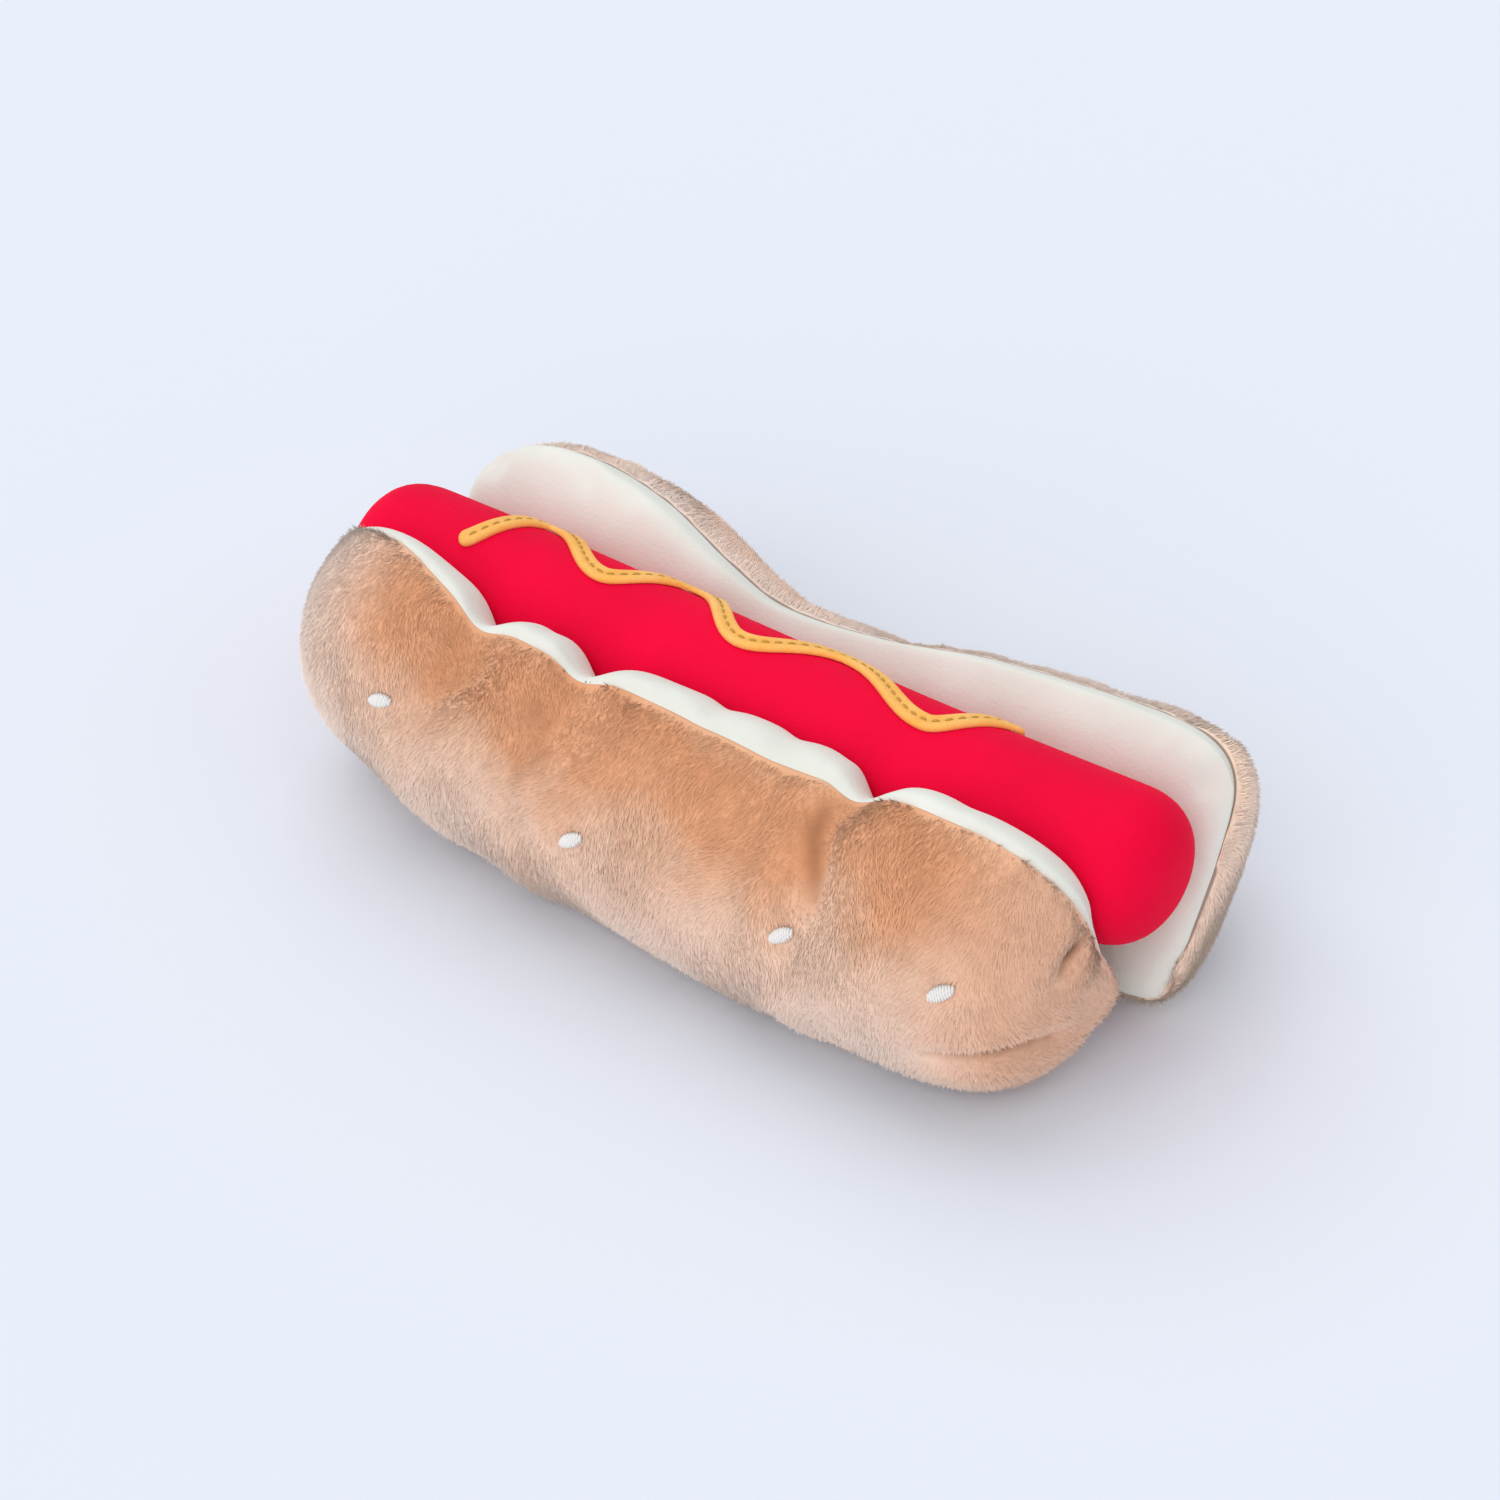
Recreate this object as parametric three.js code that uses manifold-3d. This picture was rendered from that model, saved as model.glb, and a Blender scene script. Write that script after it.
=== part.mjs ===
// Squeaky dog toy: a stuffed plush bun, split along its length, with a stuffed sausage sewn in it.
// The bun's two halves meet in a seam under the sausage and fold open about it. A squeaker
// sits in the middle of the sausage. Lengths are in millimetres, +X runs along the sausage,
// -Y is the front half and the part stands on Z = 0.
import * as THREE from 'three';
import { mergeVertices } from 'three/addons/utils/BufferGeometryUtils.js';
import Module from 'manifold-3d';

const wasm = await Module();
wasm.setup();

// Clearances between pieces that touch on the real toy
const seamGap = 0.3;
const seatGap = 0.5;

// Fabrics
const plushThickness = 2;
const liningThickness = 1.5;
const coverThickness = 1;

// The sausage's length, which both halves of the bun follow
const sausageLength = 205;
const frontShorter = 8.5;
const backShorter = 3;

// Bun: each half hangs on a wall line that runs from the hinge seam up to its rim
const frontLength = sausageLength - frontShorter;
const frontAhead = -1.2;
const backLength = sausageLength - backShorter;
const backAhead = 1.8;
const hingeHeight = 3;
const hingeSeamRadius = 1.2;
const hingeSeamLength = 168;
const floorCut = 0.5;
const floorSoftness = 2;
const frontRimOut = 28;
const frontRimHeight = 55;
const frontBulge = 40;
const frontPuff = 10.5;
const backRimOut = 32;
const backRimHeight = 56;
const backBulge = 36;
const backPuff = 4;
const flatPuff = 3.2;

// Tack stitches that draw the front rim in against the sausage
const tackDrop = 2.5;
const tackWidth = 6;
const tackThread = 0.9;
const tackOpening = 2;

// Sausage
const sausageRadius = 16.4;
const sausageHeight = 38;
const sausageEnd = 15;
const sausageBendPlace = 40;
const sausageEndLift = 3;
const sausageDroopPlace = -65;
const sausageEndDroop = 1.4;
const coverSeamDrop = 9.5;
const bedMargin = 6;

// Mustard strip: felt cord laid in waves on the sausage, with its line of stitching
const mustardWidth = 3.8;
const mustardThickness = 1.3;
const mustardReach = 100;
const stitchThread = 0.7;

// Sesame seeds: padded stitches on the plush
const seedLength = 5.6;
const seedWidth = 3.2;
const seedThickness = 1.2;

// Squeaker: soft bulb with a rigid whistle in its neck
const bulbSideSpace = 3;
const bulbCrownSpace = 8.5;
const bulbWall = 1.2;
const bulbFootRadius = 7;
const neckRadius = 5.2;
const neckHeight = 3;
const holderBore = 2.6;
const holderDepth = 8;
const flangeThickness = 1.2;
const flangeOverhang = 1.4;
const reedThickness = 0.5;
const capThickness = 1;
const capVent = 1.1;

// Shapes of the bun, as shares of the sizes above.
// Rim rows: place along the bun, how far out, how high.
const frontRimShares = [
  [-1, 0.8, 1.06],
  [-0.79, 0.86, 1.1],
  [-0.6, 0.97, 1.03],
  [-0.45, 1, 1],
  [0, 1, 0.97],
  [0.3, 1, 0.95],
  [0.42, 1, 0.99],
  [0.55, 1, 1.04],
  [0.8, 1, 1.06],
  [1, 0.96, 1],
];
const backRimShares = [
  [-1, 1.1, 0.93],
  [-0.75, 1.09, 1],
  [-0.5, 0.98, 0.99],
  [-0.3, 0.88, 0.88],
  [-0.15, 0.86, 0.8],
  [0.1, 0.92, 0.82],
  [0.35, 0.97, 0.91],
  [0.65, 1, 0.97],
  [1, 1.04, 1.02],
];
// Bulge rows: place along the bun, how far the plush swells.
const frontBulgeShares = [
  [-1, 0.78],
  [-0.9, 0.82],
  [-0.7, 0.84],
  [-0.3, 0.94],
  [0.2, 0.98],
  [0.7, 0.98],
  [0.88, 0.98],
  [1, 1.02],
];
const backBulgeShares = [[-1, 1], [0, 1], [0.6, 1], [1, 0.86]];
// Puff rows: place along the bun, how far the lining puffs beside the rim.
const frontPuffShares = [[-1, 1], [-0.4, 0.95], [-0.1, 1.05], [0.3, 1.3], [0.5, 1.05], [1, 1]];
const backPuffShares = [[-1, 1], [1, 1]];
const frontFullnessShare = 0.88;
const backFullnessShare = 0.72;
const endPowerShare = 12;
const rimPowerShare = 3;
const frontFootPowerShare = 4;
const backFootPowerShare = 12;
const crossWidthShare = 0.85;
const sausageLeftEndShare = 3.4;
const sausageEndShare = 2.5;
const evenStepShare = 0.6;
const puffStartShare = -0.2;
const puffFullShare = 0.7;
// Tack stitches: places along the sausage, as shares of half its length.
const tackShares = [-0.495, -0.234, 0.449];
const tackPinchShare = 0.6;

// Seeds: place along the half, angle round the plush from its rim, tilt on the plush, in degrees.
const frontSeedShares = [[-0.622, 44, 35], [-0.072, 49, 35], [0.454, 45, 35], [0.833, 48, 35]];
const backSeedShares = [[-0.7, 48, -35], [-0.25, 50, -35], [0.24, 48, -35], [0.7, 50, -35]];

// Turning points of the mustard: share of its reach, angle from the sausage's top towards the back.
const mustardTurnShares = [
  [-0.73, -22],
  [-0.62, 44],
  [-0.39, 0],
  [-0.23, 46],
  [-0.02, -3],
  [0.18, 31],
  [0.44, -5],
  [0.59, 46],
];

// Counts of steps in the meshes
const lengthSteps = 20;
const plushSteps = 11;
const liningSteps = 13;
const sausageSides = 22;
const mustardSteps = 64;
const threadSides = 6;
const bulbSides = 24;
const whistleSides = 16;
const seamSides = 8;
const endSteps = 6;
const seedSides = 10;
const seedRings = 6;

// Points closer than this are one point when faces are made and when bodies are cut.
const samePoint = 1e-6;
const cutWeld = 1e-4;

const colours = {
  plush: 0xd9a883,
  lining: 0xe8e4d4,
  sausage: 0xf5123c,
  mustard: 0xf6b24c,
  mustardThread: 0xd8a23a,
  thread: 0xeeeae0,
  seed: 0xf6f2ea,
  stuffing: 0xf4f4f2,
  bulb: 0xe9e6df,
  whistle: 0xf7f7f5,
};

const radians = THREE.MathUtils.degToRad;

// A smooth curve through a row of hand-picked points, read at one place.
function readRow(rows, place, column) {
  const last = rows.length - 1;
  const at = THREE.MathUtils.clamp(place, rows[0][0], rows[last][0]);
  let i = 0;
  while (i < last - 1 && at > rows[i + 1][0]) i += 1;
  const slope = (k) => {
    const a = rows[Math.max(k - 1, 0)];
    const b = rows[Math.min(k + 1, last)];
    return (b[column] - a[column]) / (b[0] - a[0]);
  };
  const span = rows[i + 1][0] - rows[i][0];
  const t = (at - rows[i][0]) / span;
  const rise = rows[i + 1][column] - rows[i][column];
  const start = slope(i) * span;
  const end = slope(i + 1) * span;
  return rows[i][column] + t * (start + t * (3 * rise - 2 * start - end + t * (start + end - 2 * rise)));
}

// Adds a triangle's corners to a list, unless two of them are the same point.
function addFace(corners, a, b, c) {
  const shortest = Math.min(a.distanceTo(b), b.distanceTo(c), c.distanceTo(a));
  if (shortest > samePoint) corners.push(a, b, c);
}

// Closed skin between an outer and an inner sheet of points. Each sheet is a list of rows, and
// the rows' ends are joined by an edge strip.
function skinGeometry(outer, inner) {
  const corners = [];
  const quad = (a, b, c, d) => {
    addFace(corners, a, b, c);
    addFace(corners, a, c, d);
  };
  const rows = outer.length - 1;
  const steps = outer[0].length - 1;
  for (let i = 0; i < rows; i += 1) {
    for (let j = 0; j < steps; j += 1) {
      quad(outer[i][j], outer[i + 1][j], outer[i + 1][j + 1], outer[i][j + 1]);
      quad(inner[i][j], inner[i][j + 1], inner[i + 1][j + 1], inner[i + 1][j]);
    }
    quad(inner[i][0], inner[i + 1][0], outer[i + 1][0], outer[i][0]);
    quad(outer[i][steps], outer[i + 1][steps], inner[i + 1][steps], inner[i][steps]);
  }
  return geometryOfCorners(corners);
}

// Closed body through rings of points. The first and last rings are shut with a fan.
function loftGeometry(rings) {
  const corners = [];
  const sides = rings[0].length;
  for (let i = 0; i < rings.length - 1; i += 1) {
    for (let j = 0; j < sides; j += 1) {
      const next = (j + 1) % sides;
      addFace(corners, rings[i][j], rings[i + 1][j], rings[i + 1][next]);
      addFace(corners, rings[i][j], rings[i + 1][next], rings[i][next]);
    }
  }
  const first = rings[0];
  const last = rings[rings.length - 1];
  for (let j = 1; j < sides - 1; j += 1) {
    addFace(corners, first[0], first[j], first[j + 1]);
    addFace(corners, last[0], last[j + 1], last[j]);
  }
  return geometryOfCorners(corners);
}

function geometryOfCorners(corners) {
  const geometry = new THREE.BufferGeometry().setFromPoints(corners);
  return turnedOut(geometry);
}

// Faces pointing out, whichever way the points ran.
function turnedOut(geometry) {
  const p = geometry.getAttribute('position');
  const a = new THREE.Vector3();
  const b = new THREE.Vector3();
  const c = new THREE.Vector3();
  let volume = 0;
  for (let i = 0; i < p.count; i += 3) {
    a.fromBufferAttribute(p, i);
    b.fromBufferAttribute(p, i + 1);
    c.fromBufferAttribute(p, i + 2);
    volume += a.dot(b.cross(c));
  }
  if (volume < 0) {
    for (let i = 0; i < p.count; i += 3) {
      b.fromBufferAttribute(p, i + 1);
      c.fromBufferAttribute(p, i + 2);
      p.setXYZ(i + 1, c.x, c.y, c.z);
      p.setXYZ(i + 2, b.x, b.y, b.z);
    }
  }
  geometry.computeVertexNormals();
  return geometry;
}

// Radius of the sausage's outside at a place along it, with blunt round ends.
function sausageRadiusAt(x) {
  const past = (Math.abs(x) - (sausageLength / 2 - sausageEnd)) / sausageEnd;
  const t = THREE.MathUtils.clamp(past, 0, 1);
  const power = x < 0 ? sausageLeftEndShare : sausageEndShare;
  return sausageRadius * (1 - t ** power) ** (1 / power);
}

// Height of the sausage's axis: its right end rises a little and its left end droops.
function sausageAxisAt(x) {
  const right = Math.max(x - sausageBendPlace, 0) / (sausageLength / 2 - sausageBendPlace);
  const left = Math.max(sausageDroopPlace - x, 0) / (sausageLength / 2 + sausageDroopPlace);
  return sausageHeight + sausageEndLift * right - sausageEndDroop * left;
}

// A number pressed smoothly up to a floor value.
function pressedUp(value, floor, softness) {
  const over = value - floor;
  return floor + (over + Math.hypot(over, softness)) / 2;
}

const frontHalf = {
  name: 'front',
  side: -1,
  length: frontLength,
  ahead: frontAhead,
  rimOut: frontRimOut,
  rimHeight: frontRimHeight,
  rimShares: frontRimShares,
  bulge: frontBulge,
  bulgeShares: frontBulgeShares,
  puff: frontPuff,
  puffShares: frontPuffShares,
  fullness: frontFullnessShare,
  footPower: frontFootPowerShare,
  tacked: true,
  seeds: frontSeedShares,
};
const backHalf = {
  name: 'back',
  side: 1,
  length: backLength,
  ahead: backAhead,
  rimOut: backRimOut,
  rimHeight: backRimHeight,
  rimShares: backRimShares,
  bulge: backBulge,
  bulgeShares: backBulgeShares,
  puff: backPuff,
  puffShares: backPuffShares,
  fullness: backFullnessShare,
  footPower: backFootPowerShare,
  tacked: false,
  seeds: backSeedShares,
};

const tackPlaces = tackShares.map((share) => share * sausageLength / 2);

// How strongly a tack stitch pulls at this place along the bun, from 0 to 1.
function tackPull(x) {
  return Math.max(...tackPlaces.map((place) => Math.exp(-(((x - place) / tackWidth) ** 2))));
}

// The sheets that a half of the bun is made of: each lies at its inset under the outside, and
// seam keeps plush and lining apart where they are sewn together.
const plushSheet = (inset) => ({ plush: true, inset, seam: seamGap / 2 });
const liningSheet = (inset) => ({ plush: false, inset, seam: -seamGap / 2 });
const fillSheet = (inset, plush) => ({ plush, inset, seam: 0 });

// A point on one half of the bun. along runs from -1 to 1, and round is 0 at the rim, a half turn
// at the hinge seam and a full turn back at the rim, over the lining.
function bunPoint(half, along, round, { plush, inset, seam }) {
  const x = half.ahead + along * (half.length / 2 - inset);
  const outsideX = half.ahead + along * half.length / 2;
  const pull = half.tacked ? tackPull(outsideX) : 0;
  const rim = new THREE.Vector2(
    half.side * half.rimOut * readRow(half.rimShares, along, 1),
    half.rimHeight * readRow(half.rimShares, along, 2) - tackDrop * pull,
  );
  const hinge = new THREE.Vector2(0, hingeHeight);
  const up = rim.clone().sub(hinge);
  const wallLength = up.length();
  up.normalize();
  const out = new THREE.Vector2(half.side * up.y, -half.side * up.x);

  const foot = hingeSeamRadius + seatGap;
  const middle = (foot + wallLength) / 2;
  const reach = (wallLength - foot) / 2 - inset;
  const closing = Math.max(1 - Math.abs(along) ** endPowerShare, 0);
  const swell = Math.sqrt(closing);
  const across = Math.cos(round);
  const taper = closing ** (1 / (across > 0 ? rimPowerShare : half.footPower));
  const depthShare = Math.abs(Math.sin(round)) ** half.fullness;
  const width = Math.sign(across) * Math.abs(across) ** crossWidthShare * reach * taper;

  const bulge = half.bulge * readRow(half.bulgeShares, along, 1);
  const fullPuff = half.puff * readRow(half.puffShares, along, 1);
  const rimPuff = (fullPuff - flatPuff) * THREE.MathUtils.smoothstep(across, puffStartShare, puffFullShare);
  const puff = flatPuff + rimPuff * (1 - tackPinchShare * pull);
  const height = plush ? bulge - inset : inset - puff;
  const depth = height * depthShare * swell + seam;

  let y = hinge.x + up.x * (middle + width) + out.x * depth;
  let z = hinge.y + up.y * (middle + width) + out.y * depth;

  // The sausage presses its bed into the lining, and the plush stays behind the lining.
  const bedX = Math.max(Math.abs(outsideX) - bedMargin, 0);
  const behind = plush ? liningThickness + seamGap : 0;
  const bed = sausageRadiusAt(bedX) + seatGap + behind + inset;
  const axis = sausageAxisAt(outsideX);
  const away = Math.hypot(y, z - axis);
  const pressed = pressedUp(away, bed, seatGap);
  y *= pressed / away;
  z = axis + (z - axis) * pressed / away;

  // The toy's own weight flattens it on the floor.
  const settled = pressedUp(z - inset, 0, floorSoftness) - floorCut;
  z = Math.max(settled, 0) + inset;
  return new THREE.Vector3(x, y, z);
}

// Places along the bun for the rows of its sheets: closer at the ends and at the tack stitches.
function bunStations(half) {
  const tacks = tackPlaces.map((place) => (place - half.ahead) / (half.length / 2));
  const near = tackWidth / (half.length / 2);
  const even = [];
  for (let i = 0; i <= lengthSteps; i += 1) even.push(Math.sin(Math.PI * (i / lengthSteps - 0.5)));
  const kept = even.filter((along) => tacks.every((tack) => Math.abs(along - tack) > 1.5 * near));
  return kept.concat(...tacks.map((tack) => [tack - near, tack, tack + near])).sort((a, b) => a - b);
}

// Points over one half of the bun: the plush from the rim down to the hinge seam, or the lining
// from the seam back up to the rim.
function bunSheet(half, sheet) {
  const firstTurn = sheet.plush ? 0 : Math.PI;
  const steps = sheet.plush ? plushSteps : liningSteps;
  const rows = [];
  for (const along of bunStations(half)) {
    const row = [];
    for (let j = 0; j <= steps; j += 1) {
      const share = j / steps;
      const turn = THREE.MathUtils.lerp(Math.PI * share, Math.acos(1 - 2 * share), evenStepShare);
      row.push(bunPoint(half, along, firstTurn + turn, sheet));
    }
    rows.push(row);
  }
  return rows;
}

function plushPanel(half) {
  return skinGeometry(bunSheet(half, plushSheet(0)), bunSheet(half, plushSheet(plushThickness)));
}

// The lining is cut back where its flat facets would touch the round sausage.
function liningPanel(half) {
  const panel = skinGeometry(bunSheet(half, liningSheet(0)), bunSheet(half, liningSheet(liningThickness)));
  const end = sausageLength / 2 + seamGap;
  const room = sausageBody(-seamGap, -end, end);
  return geometryOf(solidOf(panel).subtract(solidOf(room)));
}

function bunStuffing(half) {
  const depth = plushThickness + 5 * seamGap;
  const plushSide = bunSheet(half, fillSheet(depth, true));
  const liningSide = bunSheet(half, fillSheet(depth, false));
  return loftGeometry(plushSide.map((row, i) => row.slice(0, -1).concat(liningSide[i].slice(0, -1))));
}

// Solids for cutting and joining
function solidOf(geometry) {
  const bare = geometry.clone();
  bare.deleteAttribute('normal');
  bare.deleteAttribute('uv');
  const merged = mergeVertices(bare, cutWeld);
  return new wasm.Manifold(new wasm.Mesh({
    numProp: 3,
    vertProperties: merged.attributes.position.array,
    triVerts: new Uint32Array(merged.index.array),
  }));
}

function geometryOf(solid) {
  const mesh = solid.getMesh();
  const geometry = new THREE.BufferGeometry();
  geometry.setAttribute('position', new THREE.BufferAttribute(mesh.vertProperties, 3));
  geometry.setIndex(new THREE.BufferAttribute(mesh.triVerts, 1));
  const flat = geometry.toNonIndexed();
  flat.computeVertexNormals();
  return flat;
}

// Body of revolution about the sausage's own axis, from one place to another along it.
function sausageBody(inset, from, to) {
  const stations = [];
  const half = sausageLength / 2 - inset;
  const straight = half - (sausageEnd - inset);
  for (let i = 0; i <= endSteps; i += 1) {
    stations.push(straight + (half - straight) * Math.sin(Math.PI / 2 * i / endSteps));
  }
  const all = stations.map((x) => -x).reverse().concat(sausageDroopPlace, 0, sausageBendPlace, stations);
  const kept = [from, ...all.filter((x) => x > from + seamGap && x < to - seamGap), to];
  const radiusAt = (x) => {
    const past = THREE.MathUtils.clamp((Math.abs(x) - straight) / (half - straight), 0, 1);
    const power = x < 0 ? sausageLeftEndShare : sausageEndShare;
    return (sausageRadius - inset) * (1 - past ** power) ** (1 / power);
  };
  const outline = kept.map((x) => new THREE.Vector2(radiusAt(x), x));
  if (outline[0].x > 0) outline.unshift(new THREE.Vector2(0, from));
  if (outline[outline.length - 1].x > 0) outline.push(new THREE.Vector2(0, to));
  const lathe = new THREE.LatheGeometry(outline, sausageSides).rotateZ(-Math.PI / 2);
  const body = lathe.toNonIndexed();
  const p = body.getAttribute('position');
  for (let i = 0; i < p.count; i += 1) p.setZ(i, p.getZ(i) + sausageAxisAt(p.getX(i)));
  return turnedOut(body);
}

function sausageCover() {
  const half = sausageLength / 2;
  const outer = solidOf(sausageBody(0, -half, half));
  const inner = solidOf(sausageBody(coverThickness, coverThickness - half, half - coverThickness));
  const shell = outer.subtract(inner);
  const block = 2 * sausageLength;
  const seam = sausageHeight - coverSeamDrop;
  const below = new THREE.BoxGeometry(block, block, block).translate(0, 0, seam + seamGap / 2 - block / 2);
  const above = new THREE.BoxGeometry(block, block, block).translate(0, 0, seam - seamGap / 2 + block / 2);
  return {
    upper: geometryOf(shell.subtract(solidOf(below))),
    lower: geometryOf(shell.subtract(solidOf(above))),
  };
}

// The mustard's line on the sausage: half waves between its turning points.
function mustardPoint(share, height) {
  const first = mustardTurnShares[0][0];
  const last = mustardTurnShares[mustardTurnShares.length - 1][0];
  const place = THREE.MathUtils.lerp(first, last, share);
  let i = 0;
  while (i < mustardTurnShares.length - 2 && place > mustardTurnShares[i + 1][0]) i += 1;
  const [a, angleA] = mustardTurnShares[i];
  const [b, angleB] = mustardTurnShares[i + 1];
  const t = (1 - Math.cos(Math.PI * (place - a) / (b - a))) / 2;
  const angle = radians(THREE.MathUtils.lerp(angleA, angleB, t));
  const radius = sausageRadius + height;
  const x = place * mustardReach;
  return new THREE.Vector3(x, radius * Math.sin(angle), sausageAxisAt(x) + radius * Math.cos(angle));
}

// A strip or thread along the mustard's line. section gives points as [across, up].
function mustardSweep(section, height) {
  const rings = [];
  for (let i = 0; i <= mustardSteps; i += 1) {
    const share = i / mustardSteps;
    const step = 0.2 / mustardSteps;
    const centre = mustardPoint(share, height);
    const ahead = mustardPoint(Math.min(share + step, 1), height);
    const behind = mustardPoint(Math.max(share - step, 0), height);
    const tangent = ahead.sub(behind).normalize();
    const up = new THREE.Vector3(0, centre.y, centre.z - sausageAxisAt(centre.x)).normalize();
    const side = new THREE.Vector3().crossVectors(up, tangent).normalize();
    rings.push(section.map(([across, rise]) => {
      const corner = centre.clone().addScaledVector(side, across);
      return corner.addScaledVector(up, rise);
    }));
  }
  return loftGeometry(rings);
}

function mustardStrip() {
  const w = mustardWidth / 2;
  const t = mustardThickness;
  return mustardSweep([[-w, 0], [-w, t / 2], [-w / 2, t], [w / 2, t], [w, t / 2], [w, 0]], seamGap);
}

function mustardStitching() {
  const r = stitchThread / 2;
  const height = 2 * seamGap + mustardThickness + r;
  return mustardSweep([[-r, 0], [0, r], [r, 0], [0, -r]], height);
}

// Tack stitch: a short thread across the groove where the lining meets the sausage.
function tackStitch(place) {
  const along = (place - frontAhead) / (frontLength / 2);
  const lift = seamGap + tackThread / 2;
  const axis = sausageAxisAt(place);
  const liningAt = (turn) => {
    const point = bunPoint(frontHalf, along, turn, liningSheet(0));
    return new THREE.Vector2(point.y, point.z - axis);
  };
  const step = radians(1);
  let turn = 2 * Math.PI - step;
  while (turn > Math.PI && liningAt(turn).length() > sausageRadius + tackOpening) turn -= step;
  const onLining = liningAt(turn);
  const run = liningAt(turn - step).sub(onLining).normalize();
  const onThread = onLining.addScaledVector(new THREE.Vector2(-run.y, run.x), lift);
  const fromTop = Math.atan2(-onThread.x, onThread.y);
  const radius = sausageRadius + lift;
  const toSausage = fromTop - Math.acos(radius / onThread.length()) / 2;
  const onSausage = new THREE.Vector2(-Math.sin(toSausage), Math.cos(toSausage)).multiplyScalar(radius);
  const line = onThread.clone().sub(onSausage).normalize();
  const rings = [];
  for (const end of [onSausage, onThread]) {
    const ring = [];
    for (let k = 0; k < threadSides; k += 1) {
      const around = 2 * Math.PI * k / threadSides;
      const across = Math.cos(around) * tackThread / 2;
      const rise = Math.sin(around) * tackThread / 2;
      ring.push(new THREE.Vector3(place + across, end.x - line.y * rise, end.y + line.x * rise + axis));
    }
    rings.push(ring);
  }
  return loftGeometry(rings);
}

// A padded seed stitched on the plush at a share along and an angle round the half.
function seedMesh(half, [along, degrees, tilt]) {
  const at = (a, r) => bunPoint(half, a, r, plushSheet(0));
  const round = radians(degrees);
  const step = 0.01;
  const centre = at(along, round);
  const ahead = at(along + step, round).sub(centre).normalize();
  const down = at(along, round + step).sub(centre).normalize();
  const outward = new THREE.Vector3().crossVectors(ahead, down).normalize();
  if (outward.y * half.side < 0) outward.negate();
  const length = ahead.clone().applyAxisAngle(outward, half.side * -radians(tilt));
  const side = new THREE.Vector3().crossVectors(outward, length).normalize();
  const seed = new THREE.SphereGeometry(0.5, seedSides, seedRings).toNonIndexed();
  seed.scale(seedLength, seedWidth, seedThickness);
  const turn = new THREE.Matrix4().makeBasis(length, side, outward);
  seed.applyMatrix4(turn);
  const lift = seedThickness / 2 + seamGap;
  const place = centre.addScaledVector(outward, lift);
  seed.translate(place.x, place.y, place.z);
  return turnedOut(seed);
}

// Squeaker, built upright: its foot stands on the cover's floor inside the sausage.
const insideRadius = sausageRadius - coverThickness;
const bulbRadius = insideRadius - bulbSideSpace;
const bulbFoot = seatGap - Math.sqrt(insideRadius ** 2 - bulbFootRadius ** 2);
const bulbTop = insideRadius - bulbCrownSpace;

function turnedPiece(outline, sides) {
  const points = outline.map(([r, z]) => new THREE.Vector2(r, z));
  const lathe = new THREE.LatheGeometry(points, sides).rotateX(Math.PI / 2).toNonIndexed();
  return turnedOut(lathe.translate(0, 0, sausageHeight));
}

function squeakerBulb() {
  const neckTop = bulbTop + neckHeight;
  const belly = (bulbFoot + bulbTop) / 2;
  const shoulder = (bulbRadius + neckRadius) / 2;
  const quarter = (bulbTop - bulbFoot) / 4;
  const w = bulbWall;
  return turnedPiece([
    [0, bulbFoot],
    [bulbFootRadius, bulbFoot],
    [bulbRadius, belly - quarter],
    [bulbRadius, belly + quarter],
    [shoulder, bulbTop],
    [neckRadius, bulbTop],
    [neckRadius, neckTop],
    [neckRadius - w, neckTop],
    [neckRadius - w, bulbTop - w],
    [shoulder - w / 2, bulbTop - w],
    [bulbRadius - w, belly + quarter - w / 2],
    [bulbRadius - w, belly - quarter + w / 2],
    [bulbFootRadius - w / 2, bulbFoot + w],
    [0, bulbFoot + w],
  ], bulbSides);
}

const holderRadius = neckRadius - bulbWall - seamGap;
const flangeFoot = bulbTop + neckHeight + seamGap;
const flangeTop = flangeFoot + flangeThickness;

function reedHolder() {
  const flangeRadius = neckRadius + flangeOverhang;
  return turnedPiece([
    [holderBore, flangeTop - holderDepth],
    [holderRadius, flangeTop - holderDepth],
    [holderRadius, flangeFoot],
    [flangeRadius, flangeFoot],
    [flangeRadius, flangeTop],
    [holderBore, flangeTop],
    [holderBore, flangeTop - holderDepth],
  ], whistleSides);
}

function reedTongue() {
  const width = 2 * (holderBore - seamGap) * Math.cos(Math.PI / whistleSides) - seamGap;
  const length = holderDepth - 2 * seamGap;
  const box = new THREE.BoxGeometry(width, reedThickness, length);
  return box.translate(0, 0, sausageHeight + flangeTop - holderDepth / 2).toNonIndexed();
}

function reedCap() {
  const low = flangeTop + seamGap;
  const high = low + capThickness;
  return turnedPiece([
    [capVent, low],
    [neckRadius, low],
    [neckRadius, high],
    [capVent, high],
    [capVent, low],
  ], whistleSides);
}

const toy = new THREE.Group();

function add(name, geometry, colour, roughness) {
  const material = new THREE.MeshStandardMaterial({ color: colour, roughness, metalness: 0 });
  const mesh = new THREE.Mesh(geometry, material);
  mesh.name = name;
  toy.add(mesh);
}

for (const half of [frontHalf, backHalf]) {
  add(`${half.name}_plush_panel`, plushPanel(half), colours.plush, 0.95);
  add(`${half.name}_lining_panel`, liningPanel(half), colours.lining, 0.95);
  add(`${half.name}_stuffing`, bunStuffing(half), colours.stuffing, 1);
  half.seeds.forEach((seed, i) => {
    add(`${half.name}_sesame_seed_${i + 1}`, seedMesh(half, seed), colours.seed, 0.6);
  });
}

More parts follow.
